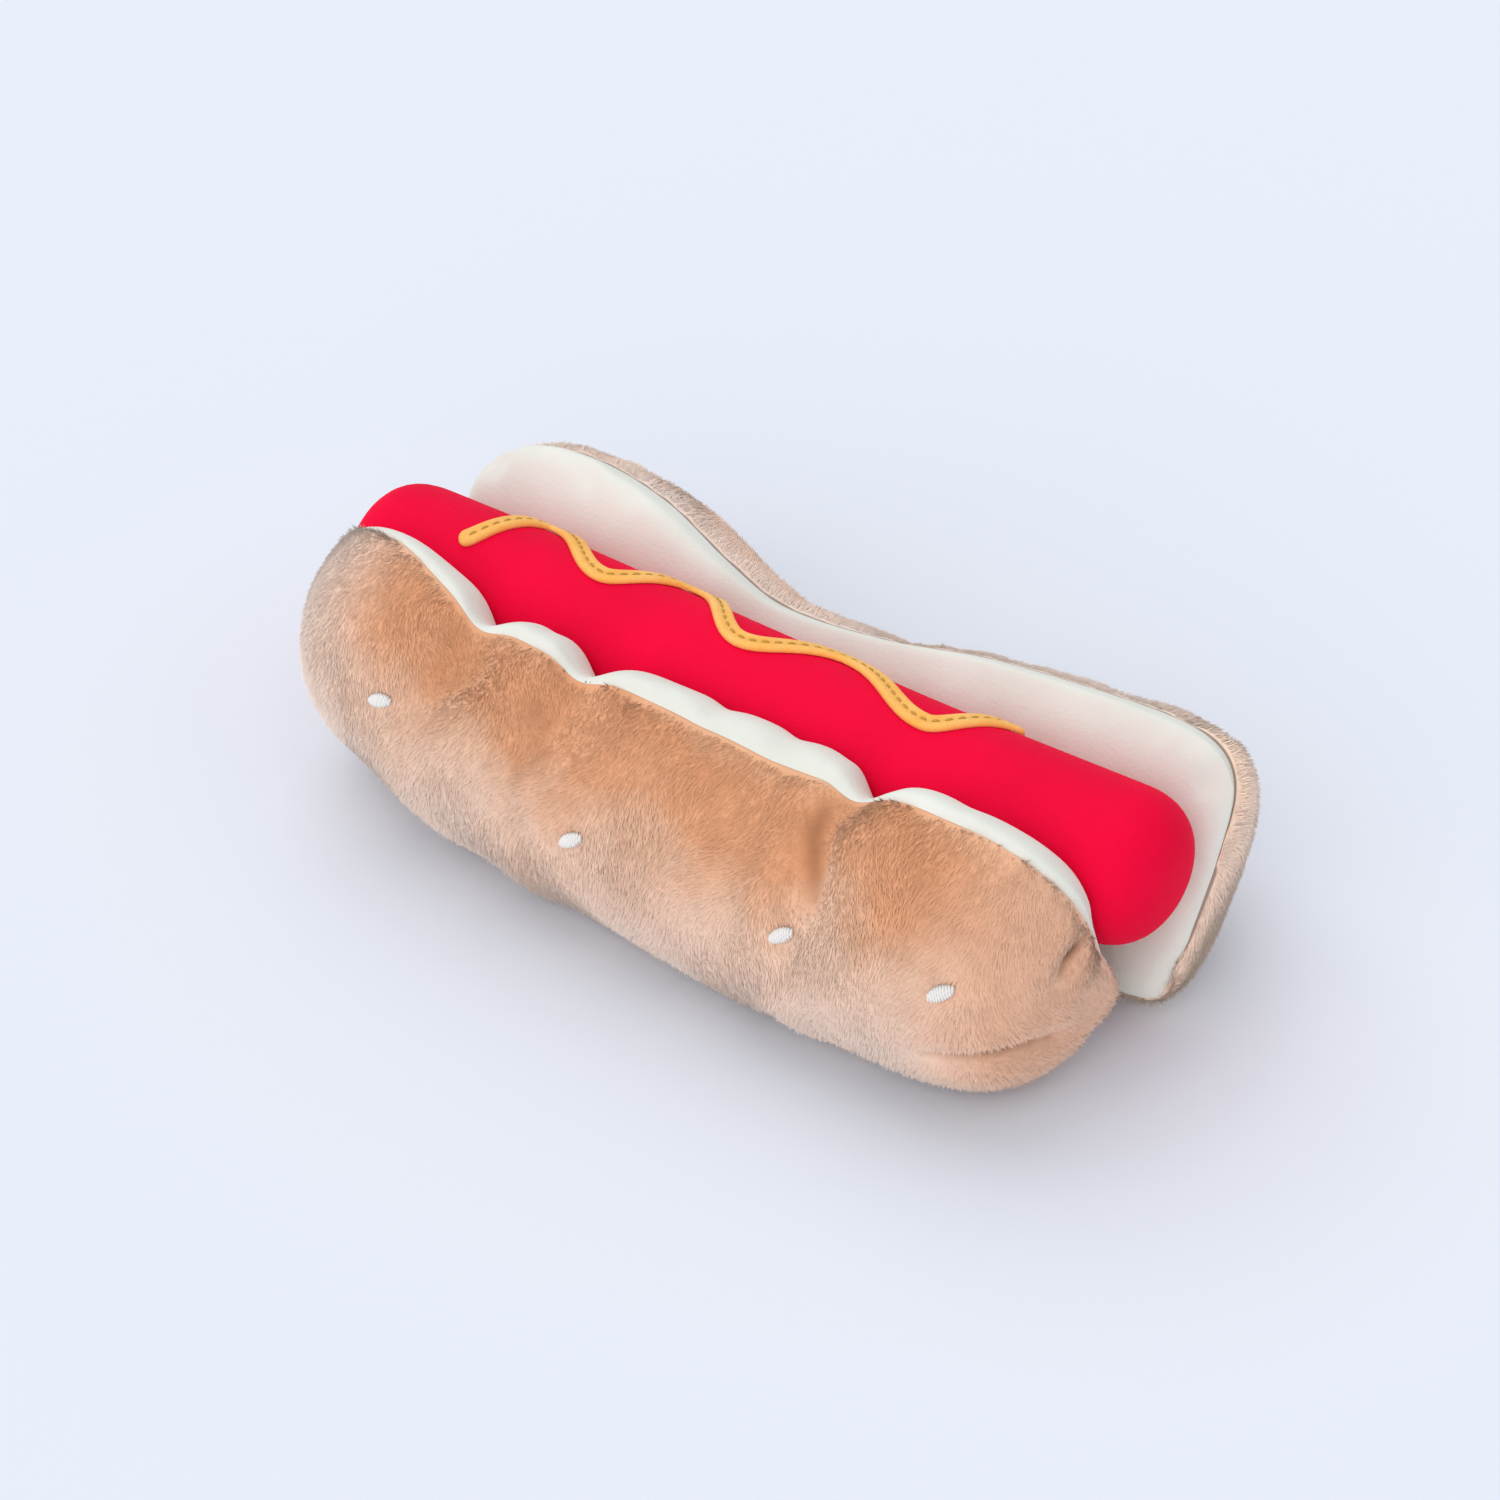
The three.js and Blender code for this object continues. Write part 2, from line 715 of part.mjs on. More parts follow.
const hingeSeam = new THREE.CylinderGeometry(hingeSeamRadius, hingeSeamRadius, hingeSeamLength, seamSides);
hingeSeam.rotateZ(Math.PI / 2).translate(frontAhead, 0, hingeHeight);
add('hinge_seam', hingeSeam.toNonIndexed(), colours.plush, 0.95);

const cover = sausageCover();
add('sausage_upper_panel', cover.upper, colours.sausage, 0.7);
add('sausage_lower_panel', cover.lower, colours.sausage, 0.7);
const stuffingInset = coverThickness + seamGap;
const stuffingEnd = sausageLength / 2 - stuffingInset;
const pocket = bulbRadius + seatGap;
const leftStuffing = sausageBody(stuffingInset, -stuffingEnd, -pocket);
const rightStuffing = sausageBody(stuffingInset, pocket, stuffingEnd);
add('sausage_stuffing_left', leftStuffing, colours.stuffing, 1);
add('sausage_stuffing_right', rightStuffing, colours.stuffing, 1);
add('mustard_strip', mustardStrip(), colours.mustard, 0.85);
add('mustard_stitching', mustardStitching(), colours.mustardThread, 0.7);
tackPlaces.forEach((place, i) => add(`tack_stitch_${i + 1}`, tackStitch(place), colours.thread, 0.8));

add('squeaker_bulb', squeakerBulb(), colours.bulb, 0.5);
add('reed_holder', reedHolder(), colours.whistle, 0.4);
add('reed_tongue', reedTongue(), colours.whistle, 0.4);
add('reed_cap', reedCap(), colours.whistle, 0.4);

// The part stands with the middle of its outline over the origin.
const outline = new THREE.Box3().setFromObject(toy);
const centre = outline.getCenter(new THREE.Vector3());
toy.position.set(-centre.x, -centre.y, -outline.min.z);

export default toy;
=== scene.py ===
import math

import bmesh
import bpy
import numpy as np
from mathutils import Matrix, Vector
from mathutils import noise
from mathutils.kdtree import KDTree


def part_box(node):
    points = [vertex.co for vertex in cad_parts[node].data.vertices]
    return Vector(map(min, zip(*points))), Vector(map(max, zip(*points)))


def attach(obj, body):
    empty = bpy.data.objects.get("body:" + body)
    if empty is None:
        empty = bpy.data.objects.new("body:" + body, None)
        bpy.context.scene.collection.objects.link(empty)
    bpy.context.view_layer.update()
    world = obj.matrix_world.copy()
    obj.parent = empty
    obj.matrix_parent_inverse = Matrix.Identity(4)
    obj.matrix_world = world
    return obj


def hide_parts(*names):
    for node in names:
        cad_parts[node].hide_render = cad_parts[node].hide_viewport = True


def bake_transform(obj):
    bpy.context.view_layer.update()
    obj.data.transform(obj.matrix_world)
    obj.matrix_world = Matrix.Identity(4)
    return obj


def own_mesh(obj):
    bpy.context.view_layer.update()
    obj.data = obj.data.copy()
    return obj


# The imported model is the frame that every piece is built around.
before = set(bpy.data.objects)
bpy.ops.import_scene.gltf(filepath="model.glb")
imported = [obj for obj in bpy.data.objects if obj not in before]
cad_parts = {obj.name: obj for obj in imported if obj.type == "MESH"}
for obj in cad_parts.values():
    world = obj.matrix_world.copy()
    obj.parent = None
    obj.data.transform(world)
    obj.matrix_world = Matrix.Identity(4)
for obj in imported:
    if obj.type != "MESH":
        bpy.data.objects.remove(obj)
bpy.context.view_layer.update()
scene = bpy.context.scene
scene.view_settings.view_transform = "Standard"

# The camera looks down on the toy from the front left corner, as the photograph does. Its place is
# given from the middle of the photographed toy, along its own right, up and back directions.
CAMERA_RIGHT = Vector((0.80123382, 0.59835137, 0.0))
CAMERA_UP = Vector((-0.37002936, 0.49549488, 0.78585183))
CAMERA_BACK = Vector((0.47021552, -0.62965106, 0.61841483))
CAMERA_OFFSET = Vector((-0.00541965, 0.02315143, 0.794435))
AIM = Vector((0.00615, -0.001223, 0.0))
LENS_MM = 89.754
camera = bpy.data.objects.new("camera", bpy.data.cameras.new("camera"))
scene.collection.objects.link(camera)
camera.data.sensor_width = 36
camera.data.lens = LENS_MM
turn = Matrix((CAMERA_RIGHT, CAMERA_UP, CAMERA_BACK)).transposed()
camera.matrix_world = Matrix.Translation(AIM + turn @ CAMERA_OFFSET) @ turn.to_4x4()
camera.data.clip_start = 0.05
camera.data.clip_end = 20
scene.camera = camera

# Floor and backdrop: one wide sheet of plain pale paper, which reaches past the picture's edges. Soft
# studio light falls on it from above, and more comes in low from the front.
FLOOR_SIZE = 6.0
FLOOR_COLOUR = (0.80, 0.83, 0.90, 1)


def new_material(name):
    material = bpy.data.materials.new(name)
    material.use_nodes = True
    material.node_tree.nodes.clear()
    return material, material.node_tree


def add_node(tree, kind, **settings):
    node = tree.nodes.new(kind)
    for key, value in settings.items():
        if hasattr(node, key) and key not in node.inputs:
            setattr(node, key, value)
        else:
            node.inputs[key].default_value = value
    return node


def link(tree, source, target):
    tree.links.new(source, target)


bm = bmesh.new()
bmesh.ops.create_grid(bm, x_segments=1, y_segments=1, size=FLOOR_SIZE / 2)
floor_mesh = bpy.data.meshes.new("floor")
bm.to_mesh(floor_mesh)
bm.free()
floor = bpy.data.objects.new("floor", floor_mesh)
scene.collection.objects.link(floor)
floor_material, tree = new_material("floor_paper")
diffuse = add_node(tree, "ShaderNodeBsdfDiffuse", Color=FLOOR_COLOUR)
out = add_node(tree, "ShaderNodeOutputMaterial")
link(tree, diffuse.outputs["BSDF"], out.inputs["Surface"])
floor_mesh.materials.append(floor_material)

world = bpy.data.worlds.new("studio")
scene.world = world
world.use_nodes = True
world.node_tree.nodes["Background"].inputs["Color"].default_value = (0.93, 0.96, 1.0, 1)
world.node_tree.nodes["Background"].inputs["Strength"].default_value = 0.72


def add_sun(name, source, strength, spread):
    sun = bpy.data.lights.new(name, "SUN")
    sun.energy = strength
    sun.angle = math.radians(spread)
    holder = bpy.data.objects.new(name, sun)
    scene.collection.objects.link(holder)
    aim = -Vector(source)
    holder.matrix_world = Matrix.Translation(source) @ aim.to_track_quat("-Z", "Y").to_matrix().to_4x4()


add_sun("window_light", (-0.6, 0.25, 1.0), 0.75, 60)
add_sun("room_light", (0.1, -1.0, 0.45), 1.15, 70)

# Squeaker: a blown bulb of soft milky plastic, with a small rigid whistle pressed into its neck. The
# whistle is a reed holder, a thin reed and a vented cap, and the sausage's filling holds it upright.
BULB_PROFILE = (
    (0, 0.02478), (0.0055, 0.02478), (0.0086, 0.0255), (0.0112, 0.0285), (0.0123, 0.0325),
    (0.0124, 0.0362), (0.012, 0.0398), (0.0104, 0.043), (0.0076, 0.0447), (0.0056, 0.0452),
    (0.0052, 0.0459), (0.0052, 0.0479), (0.004, 0.0479), (0.004, 0.0446), (0.0066, 0.0436),
    (0.0094, 0.0418), (0.0108, 0.0392), (0.0112, 0.036), (0.0111, 0.033), (0.0101, 0.0296),
    (0.0078, 0.0267), (0.0052, 0.026), (0, 0.026),
)
low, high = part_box("sausage_upper_panel")
MIDDLE = np.array(((low.x + high.x) / 2, (low.y + high.y) / 2, 0))


def piece_from(name, bm, material=None):
    mesh = bpy.data.meshes.new(name)
    bm.to_mesh(mesh)
    bm.free()
    if material:
        mesh.materials.append(material)
    mesh.polygons.foreach_set("use_smooth", [True] * len(mesh.polygons))
    piece = bpy.data.objects.new(name, mesh)
    scene.collection.objects.link(piece)
    return piece


def piece_texture(tree, kind, **settings):
    """A texture that stays put on its piece, by Object coordinates."""
    coords = add_node(tree, "ShaderNodeTexCoord")
    texture = add_node(tree, f"ShaderNodeTex{kind}", **settings)
    link(tree, coords.outputs["Object"], texture.inputs["Vector"])
    return texture.outputs["Fac"]


def colour_ramp(tree, value, stops):
    """The colour at a value between stops, which are places with their colours."""
    ramp = add_node(tree, "ShaderNodeValToRGB")
    while len(ramp.color_ramp.elements) < len(stops):
        ramp.color_ramp.elements.new(0.5)
    for element, (place, colour) in zip(ramp.color_ramp.elements, stops):
        element.position = place
        element.color = colour
    link(tree, value, ramp.inputs["Fac"])
    return ramp.outputs["Color"]


def toned(colour, share):
    return tuple(min(c * share, 1) for c in colour[:3]) + (1,)


def finish_material(tree, colour, height, strength, distance, **settings):
    """Gives a material its colour, its fine relief and its surface settings."""
    relief = add_node(tree, "ShaderNodeBump", Strength=strength, Distance=distance)
    link(tree, height, relief.inputs["Height"])
    surface = add_node(tree, "ShaderNodeBsdfPrincipled", **settings)
    link(tree, colour, surface.inputs["Base Color"])
    link(tree, relief.outputs["Normal"], surface.inputs["Normal"])
    out = add_node(tree, "ShaderNodeOutputMaterial")
    link(tree, surface.outputs["BSDF"], out.inputs["Surface"])


def moulded_plastic(name, colour, roughness, flow):
    material, tree = new_material(name)
    streaks = piece_texture(tree, "Noise", Scale=flow, Detail=3.0, Roughness=0.5)
    shade = colour_ramp(tree, streaks, ((0, toned(colour, 0.92)), (1, colour)))
    glow = {"Subsurface Weight": 0.15, "Subsurface Scale": 0.002}
    finish_material(tree, shade, streaks, 0.1, 0.0002, Roughness=roughness, **glow)
    return material


bm = bmesh.new()
profile = [bm.verts.new((r, 0, z)) for r, z in BULB_PROFILE]
edges = [bm.edges.new(pair) for pair in zip(profile, profile[1:])]
bmesh.ops.spin(
    bm, geom=profile + edges, cent=(0, 0, 0), axis=(0, 0, 1), angle=2 * math.pi, steps=48, use_merge=True
)
bmesh.ops.remove_doubles(bm, verts=bm.verts, dist=1e-6)
bmesh.ops.recalc_face_normals(bm, faces=bm.faces)
bmesh.ops.translate(bm, verts=bm.verts, vec=MIDDLE)
soft_plastic = moulded_plastic("milky_soft_plastic", (0.82, 0.8, 0.74, 1), 0.4, 220.0)
bulb = piece_from("squeaker_bulb_blown", bm, soft_plastic)
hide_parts("squeaker_bulb")
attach(bulb, "front_half")
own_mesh(bulb)
whistle_plastic = moulded_plastic("white_hard_plastic", (0.78, 0.78, 0.75, 1), 0.3, 400.0)
for node in ("reed_holder", "reed_tongue", "reed_cap"):
    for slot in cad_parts[node].material_slots:
        slot.material = whistle_plastic

# Sausage filling: loose white polyester fibre, pushed into the cover in two lengths, one on each side
# of the squeaker. Nothing fixes it but the cover that it fills.
SAUSAGE_HEIGHT = 0.038
SAUSAGE_RADIUS = 0.0164
FIBRE_DENSITY = 900.0


def fibre_filling(name, node, shrink, lumps):
    """A lumpy mass of fibre in the room of a CAD filling, drawn in from its outside."""
    bm = bmesh.new()
    bm.from_mesh(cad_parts[node].data)
    bmesh.ops.remove_doubles(bm, verts=bm.verts, dist=1e-6)
    bmesh.ops.subdivide_edges(bm, edges=bm.edges, cuts=1, use_grid_fill=True)
    bm.normal_update()
    for vert in bm.verts:
        lump = noise.noise(vert.co * 90) * 0.7 + noise.noise(vert.co * 260) * 0.3
        vert.co -= vert.normal * (shrink + lumps * (0.5 + 0.5 * lump))
    for _ in range(2):
        bmesh.ops.smooth_vert(
            bm, verts=bm.verts, factor=0.4, use_axis_x=True, use_axis_y=True, use_axis_z=True
        )
    piece = piece_from(name, bm, fibre)
    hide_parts(node)
    return piece


fibre, tree = new_material("polyester_fibre")
strands = piece_texture(
    tree, "Noise", Scale=FIBRE_DENSITY, Detail=6.0, Roughness=0.8, Distortion=1.5
)
shade = colour_ramp(tree, strands, ((0, (0.66, 0.66, 0.66, 1)), (1, (0.86, 0.86, 0.85, 1))))
finish_material(tree, shade, strands, 0.8, 0.0006, Roughness=1.0, **{"Sheen Weight": 0.4})

for end in ("left", "right"):
    filling = fibre_filling(f"sausage_fibre_{end}", f"sausage_stuffing_{end}", 0.0002, 0.0006)
    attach(filling, "front_half")
    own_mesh(filling)

# Sausage cover: bright red close-knit fabric in two panels, sewn shut round a fibre filling. The
# filling presses it full and round. Its right end lies a little high and its left end droops.
SAUSAGE_LENGTH = 0.205
SAUSAGE_END = 0.015
SAUSAGE_END_POWER = 2.5
SAUSAGE_LEFT_END_POWER = 3.4
SAUSAGE_BEND_PLACE = 0.04
SAUSAGE_END_LIFT = 0.003
SAUSAGE_DROOP_PLACE = 0.065
SAUSAGE_END_DROOP = 0.0014
SAUSAGE_SEAM_HEIGHT = 0.0285
SAUSAGE_RED = (0.92, 0.001, 0.043, 1)


def smooth_share(value, start, end):
    share = np.clip((value - start) / (end - start), 0, 1)
    return share * share * (3 - 2 * share)


def sausage_axis(x):
    """Height of the sausage's middle at places along it, with both bends made smooth."""
    right, left = (
        0.5 * (past + np.hypot(past, 0.012)) / (SAUSAGE_LENGTH / 2 - place)
        for past, place in (
            (x - SAUSAGE_BEND_PLACE, SAUSAGE_BEND_PLACE),
            (-x - SAUSAGE_DROOP_PLACE, SAUSAGE_DROOP_PLACE),
        )
    )
    return SAUSAGE_HEIGHT + SAUSAGE_END_LIFT * right - SAUSAGE_END_DROOP * left


def sausage_radius(x):
    past = (np.abs(x) - (SAUSAGE_LENGTH / 2 - SAUSAGE_END)) / SAUSAGE_END
    power = np.where(x < 0, SAUSAGE_LEFT_END_POWER, SAUSAGE_END_POWER)
    return SAUSAGE_RADIUS * (1 - np.clip(past, 0, 1) ** power) ** (1 / power)


def even_places(line_at, start, end):
    """A function from a share of a line's length to the place along it, by equal steps."""
    places = np.linspace(start, end, 4001)
    steps = np.linalg.norm(np.diff(line_at(places), axis=0), axis=1)
    length = np.concatenate(([0], np.cumsum(steps)))
    return lambda share: np.interp(share * length[-1], length, places)


def cloth_piece(name, across, down, point_at, material=None, closed=False, turned=False):
    """A piece of cloth from a flat grid whose points are laid in place. Its UV map is the grid."""
    bm = bmesh.new()
    layer = bm.loops.layers.uv.new("UVMap")
    bmesh.ops.create_grid(bm, x_segments=across, y_segments=down, size=0.5)
    shares = np.array([v.co[:2] for v in bm.verts]) + 0.5
    for face in bm.faces:
        for loop in face.loops:
            loop[layer].uv = shares[loop.vert.index]
    points = point_at(shares[:, 0], shares[:, 1])
    for vert, point in zip(bm.verts, points):
        vert.co = point
    if closed:
        bmesh.ops.remove_doubles(bm, verts=bm.verts, dist=1e-6)
        bmesh.ops.recalc_face_normals(bm, faces=bm.faces)
    if turned:
        bmesh.ops.reverse_faces(bm, faces=bm.faces)
    return piece_from(name, bm, material)


def sausage_points(share, round_share):
    tips = (-SAUSAGE_LENGTH / 2, SAUSAGE_LENGTH / 2)
    x = even_places(lambda x: np.stack((x, sausage_radius(x)), 1), *tips)(share)
    angle = 2 * math.pi * round_share
    radius = sausage_radius(x)
    points = np.stack((x, -radius * np.sin(angle), sausage_axis(x) - radius * np.cos(angle)), 1)
    return points + MIDDLE


def reckon(tree, operation, *values):
    """The result of a sum on numbers and sockets."""
    node = add_node(tree, "ShaderNodeMath", operation=operation)
    for value, socket in zip(values, node.inputs):
        if isinstance(value, bpy.types.NodeSocket):
            link(tree, value, socket)
        else:
            socket.default_value = value
    return node.outputs[0]


red_knit, tree = new_material("red_knit")
rib = piece_texture(tree, "Noise", Scale=1400.0, Detail=2.0, Roughness=0.6)
broad = piece_texture(tree, "Noise", Scale=38.0, Detail=3.0, Roughness=0.55)
uneven = reckon(tree, "MULTIPLY_ADD", rib, 0.3, reckon(tree, "MULTIPLY", broad, 0.7))
shade = colour_ramp(tree, uneven, ((0.25, toned(SAUSAGE_RED, 0.82)), (0.75, toned(SAUSAGE_RED, 1.06))))
surface = {"Specular IOR Level": 0.08, "Sheen Weight": 0.08, "Sheen Tint": (1, 0.05, 0.12, 1)}
finish_material(tree, shade, rib, 0.35, 0.0002, Roughness=0.8, **surface)

for level in ("upper", "lower"):
    cover = cloth_piece(f"sausage_cover_{level}", 150, 56, sausage_points, red_knit, closed=True)
    bm = bmesh.new()
    bm.from_mesh(cover.data)
    bmesh.ops.bisect_plane(
        bm,
        geom=bm.verts[:] + bm.edges[:] + bm.faces[:],
        plane_co=(0, 0, SAUSAGE_SEAM_HEIGHT),
        plane_no=(0, 0, 1),
        clear_inner=level == "upper",
        clear_outer=level == "lower",
    )
    bm.to_mesh(cover.data)
    bm.free()
    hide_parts(f"sausage_{level}_panel")
    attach(cover, "front_half")
    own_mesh(cover)

# Mustard: a soft felt cord laid in waves along the sausage's top and sewn down through its middle.
# The stitch line pulls a groove into it, so its two edges stand up lighter than its middle.
MUSTARD_WIDTH = 0.0043
MUSTARD_THICKNESS = 0.0015
MUSTARD_GROOVE = 0.0006
MUSTARD_REACH = 0.1
MUSTARD_LIFT = 0.0001
MUSTARD_END = 0.012
MUSTARD_TURNS = (
    (-0.73, -22), (-0.62, 44), (-0.39, 0), (-0.23, 46), (-0.02, -3), (0.18, 31), (0.44, -5),
    (0.59, 46),
)


def unit(ways):
    return ways / np.maximum(np.linalg.norm(ways, axis=1), 1e-9)[:, None]


def bell(away, width):
    return np.exp(-((away / width) ** 2))


def mustard_line(share, height):
    """Points of the strip's waves at a height over the cover, from its left to its right end."""
    turns = np.array(MUSTARD_TURNS, float)
    place = turns[0, 0] + share * (turns[-1, 0] - turns[0, 0])
    i = np.clip(np.searchsorted(turns[:, 0], place, side="left") - 1, 0, len(turns) - 2)
    t = (1 - np.cos(math.pi * (place - turns[i, 0]) / (turns[i + 1, 0] - turns[i, 0]))) / 2
    angle = np.radians(turns[i, 1] + t * (turns[i + 1, 1] - turns[i, 1]))
    x = place * MUSTARD_REACH
    radius = SAUSAGE_RADIUS + height
    return np.stack((x, radius * np.sin(angle), sausage_axis(x) + radius * np.cos(angle)), 1) + MIDDLE


mustard_even = even_places(lambda share: mustard_line(share, 0), 0, 1)


def mustard_frame(share):
    """Points of the strip's line with its forward, upward and sideways directions."""
    step = 0.0004
    centre = mustard_line(share, MUSTARD_LIFT)
    ahead = mustard_line(np.minimum(share + step, 1), MUSTARD_LIFT) - mustard_line(
        np.maximum(share - step, 0), MUSTARD_LIFT
    )
    forward = unit(ahead)
    up = centre - MIDDLE
    up[:, 2] -= sausage_axis(up[:, 0])
    up[:, 0] = 0
    up = unit(up)
    return centre, forward, up, unit(np.cross(up, forward))


def mustard_points(share, round_share):
    inner = np.clip(share, MUSTARD_END, 1 - MUSTARD_END)
    centre, forward, up, side = mustard_frame(mustard_even(inner))
    past = np.clip(np.abs(share - inner) / MUSTARD_END, 0, 1)
    size = np.sqrt(1 - past**2)
    angle = 2 * math.pi * round_share
    across = np.sign(np.sin(angle)) * np.abs(np.sin(angle)) ** 0.8 * MUSTARD_WIDTH / 2 * size
    top = -np.cos(angle)
    rise = np.where(top > 0, np.abs(top) ** 0.6, 0) * MUSTARD_THICKNESS * size
    groove = bell(across, 0.16 * MUSTARD_WIDTH) * (top > 0)
    rise -= MUSTARD_GROOVE * groove * size
    push = np.sign(share - inner) * past * MUSTARD_WIDTH / 2
    return centre + side * across[:, None] + up * rise[:, None] + forward * push[:, None]


mustard_felt, tree = new_material("mustard_felt")
fuzz = piece_texture(tree, "Noise", Scale=900.0, Detail=4.0, Roughness=0.7)
broad = piece_texture(tree, "Noise", Scale=120.0, Detail=2.0)
uneven = reckon(tree, "MULTIPLY", reckon(tree, "ADD", fuzz, broad), 0.5)
shade = colour_ramp(tree, uneven, ((0.35, (0.95, 0.45, 0.09, 1)), (0.65, (1.0, 0.57, 0.18, 1))))
surface = {"Specular IOR Level": 0.1, "Sheen Weight": 0.25, "Sheen Tint": (1, 0.8, 0.45, 1)}
finish_material(tree, shade, fuzz, 0.5, 0.0003, Roughness=0.9, **surface)
mustard = cloth_piece("mustard_strip_felt", 420, 20, mustard_points, mustard_felt, closed=True)
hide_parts("mustard_strip")
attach(mustard, "front_half")
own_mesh(mustard)

# Mustard stitches: one row of machine stitches in the strip's groove, in a darker yellow thread.
# Each stitch is a short arched loop of thread with its ends drawn down into the felt.
STITCH_COUNT = 62
STITCH_WIDTH = 0.00062
STITCH_GAP_SHARE = 0.16
STITCH_ARCH = 0.00025
STITCH_SUNK = 0.00005
STITCH_POINTS = 7
THREAD_SIDES = 6


def thread_material(name, colour, shine):
    material, tree = new_material(name)
    ply = piece_texture(tree, "Wave", Scale=900.0, Distortion=1.5, Detail=1.0)
    shade = colour_ramp(tree, ply, ((0, toned(colour, 0.78)), (1, colour)))
    finish_material(tree, shade, ply, 0.4, 0.0001, Roughness=shine, **{"Sheen Weight": 0.1})
    return material


def sewn_piece(name, material, width, threads):
    """A piece of closed threads, each drawn in to a point at its two ends. A thread is given by its
    line of points and the way up at each of them, or one way up for them all."""
    bm = bmesh.new()
    for line, ups in threads:
        ups = np.broadcast_to(ups, line.shape)
        last = len(line) - 1
        made = bmesh.ops.create_grid(bm, x_segments=last, y_segments=THREAD_SIDES, size=0.5)["verts"]
        for vert in made:
            i = round((vert.co.x + 0.5) * last)
            angle = 2 * math.pi * (vert.co.y + 0.5)
            forward = line[min(i + 1, last)] - line[max(i - 1, 0)]
            side = np.cross(ups[i], forward)
            side, rise = unit(np.stack((side, np.cross(forward, side))))
            thick = width / 2 * math.sqrt(max(1 - (2 * i / last - 1) ** 4, 0))
            vert.co = line[i] + thick * (math.cos(angle) * side + math.sin(angle) * rise)
        bmesh.ops.remove_doubles(bm, verts=made, dist=1e-6)
    bmesh.ops.recalc_face_normals(bm, faces=bm.faces)
    return piece_from(name, bm, material)


threads = []
for i in range(STITCH_COUNT):
    share = np.linspace(i + STITCH_GAP_SHARE, i + 1 - STITCH_GAP_SHARE, STITCH_POINTS) / STITCH_COUNT
    share = share * (1 - 2 * MUSTARD_END) + MUSTARD_END
    centre, forward, up, side = mustard_frame(mustard_even(share))
    arch = np.sin(np.linspace(0, math.pi, STITCH_POINTS)) * STITCH_ARCH
    arch += MUSTARD_THICKNESS - MUSTARD_GROOVE - STITCH_SUNK
    threads.append((centre + up * arch[:, None], up))
olive_thread = thread_material("olive_thread", (0.62, 0.33, 0.03, 1), 0.6)
stitches = sewn_piece("mustard_stitches", olive_thread, STITCH_WIDTH, threads)
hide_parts("mustard_stitching")
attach(stitches, "front_half")
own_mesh(stitches)

# Bun linings: cream fleece, one panel on the inside of each half. The filling puffs them out between
# the rim and the sausage, which presses its bed into them, and the front rim is tacked to the sausage.
SEAT_GAP = 0.0005
SEAM_GAP = 0.0003
LINING_THICKNESS = 0.0015
HINGE_HEIGHT = 0.003
HINGE_SEAM_RADIUS = 0.0012
FLOOR_CUT = 0.0005
FLOOR_SOFTNESS = 0.002
BED_MARGIN = 0.006
FLAT_PUFF = 0.0032
END_POWER = 12
RIM_POWER = 3
CROSS_WIDTH_POWER = 0.85
PUFF_START = -0.2
PUFF_FULL = 0.7
TACK_PLACES = (-0.0507, -0.024, 0.046)
TACK_WIDTH = 0.006
TACK_DROP = 0.0025
TACK_PINCH = 0.6
PUCKER_WIDTH = 0.0035
PUCKERS = ((-0.037, 0.08), (0.0063, 0.12), (0.0233, 0.1), (0.0365, 0.08), (0.066, 0.05))
SETTLE_SCALE = 10
SETTLE_STEPS = 20
CLOTH = {
    "quality": 6,
    "mass": 0.3,
    "tension_stiffness": 25,
    "compression_stiffness": 25,
    "shear_stiffness": 10,
    "bending_stiffness": 0.4,
    "use_pressure": True,
    "vertex_group_mass": "seam",
}
FRONT = {
    "side": -1,
    "length": 0.1965,
    "ahead": -0.0012,
    "rim_out": 0.028,
    "rim_height": 0.055,
    "rim": (
        (-1, 0.8, 1.06), (-0.79, 0.86, 1.1), (-0.6, 0.97, 1.03), (-0.45, 1, 1), (0, 1, 0.97),
        (0.3, 1, 0.95), (0.42, 1, 0.99), (0.55, 1, 1.04), (0.8, 1, 1.06), (1, 0.96, 1),
    ),
    "bulge": 0.04,
    "bulges": (
        (-1, 0.78), (-0.9, 0.82), (-0.7, 0.84), (-0.3, 0.94), (0.2, 0.98), (0.7, 0.98),
        (0.88, 0.98), (1, 1.02),
    ),
    "puff": 0.0105,
    "puffs": ((-1, 1), (-0.4, 0.95), (-0.1, 1.05), (0.3, 1.3), (0.5, 1.05), (1, 1)),
    "fullness": 0.88,
    "foot_power": 4,
    "seams": (
        (-1, 0.4), (-0.8, 0.34), (-0.6, 0.2), (-0.45, 0.1), (-0.25, 0.1), (0.2, 0.13), (0.8, 0.12),
        (1, 0.1),
    ),
    "tuck": 0.0013,
    "lining_cut": (0.061, 0.1965),
    "tacked": 1,
}
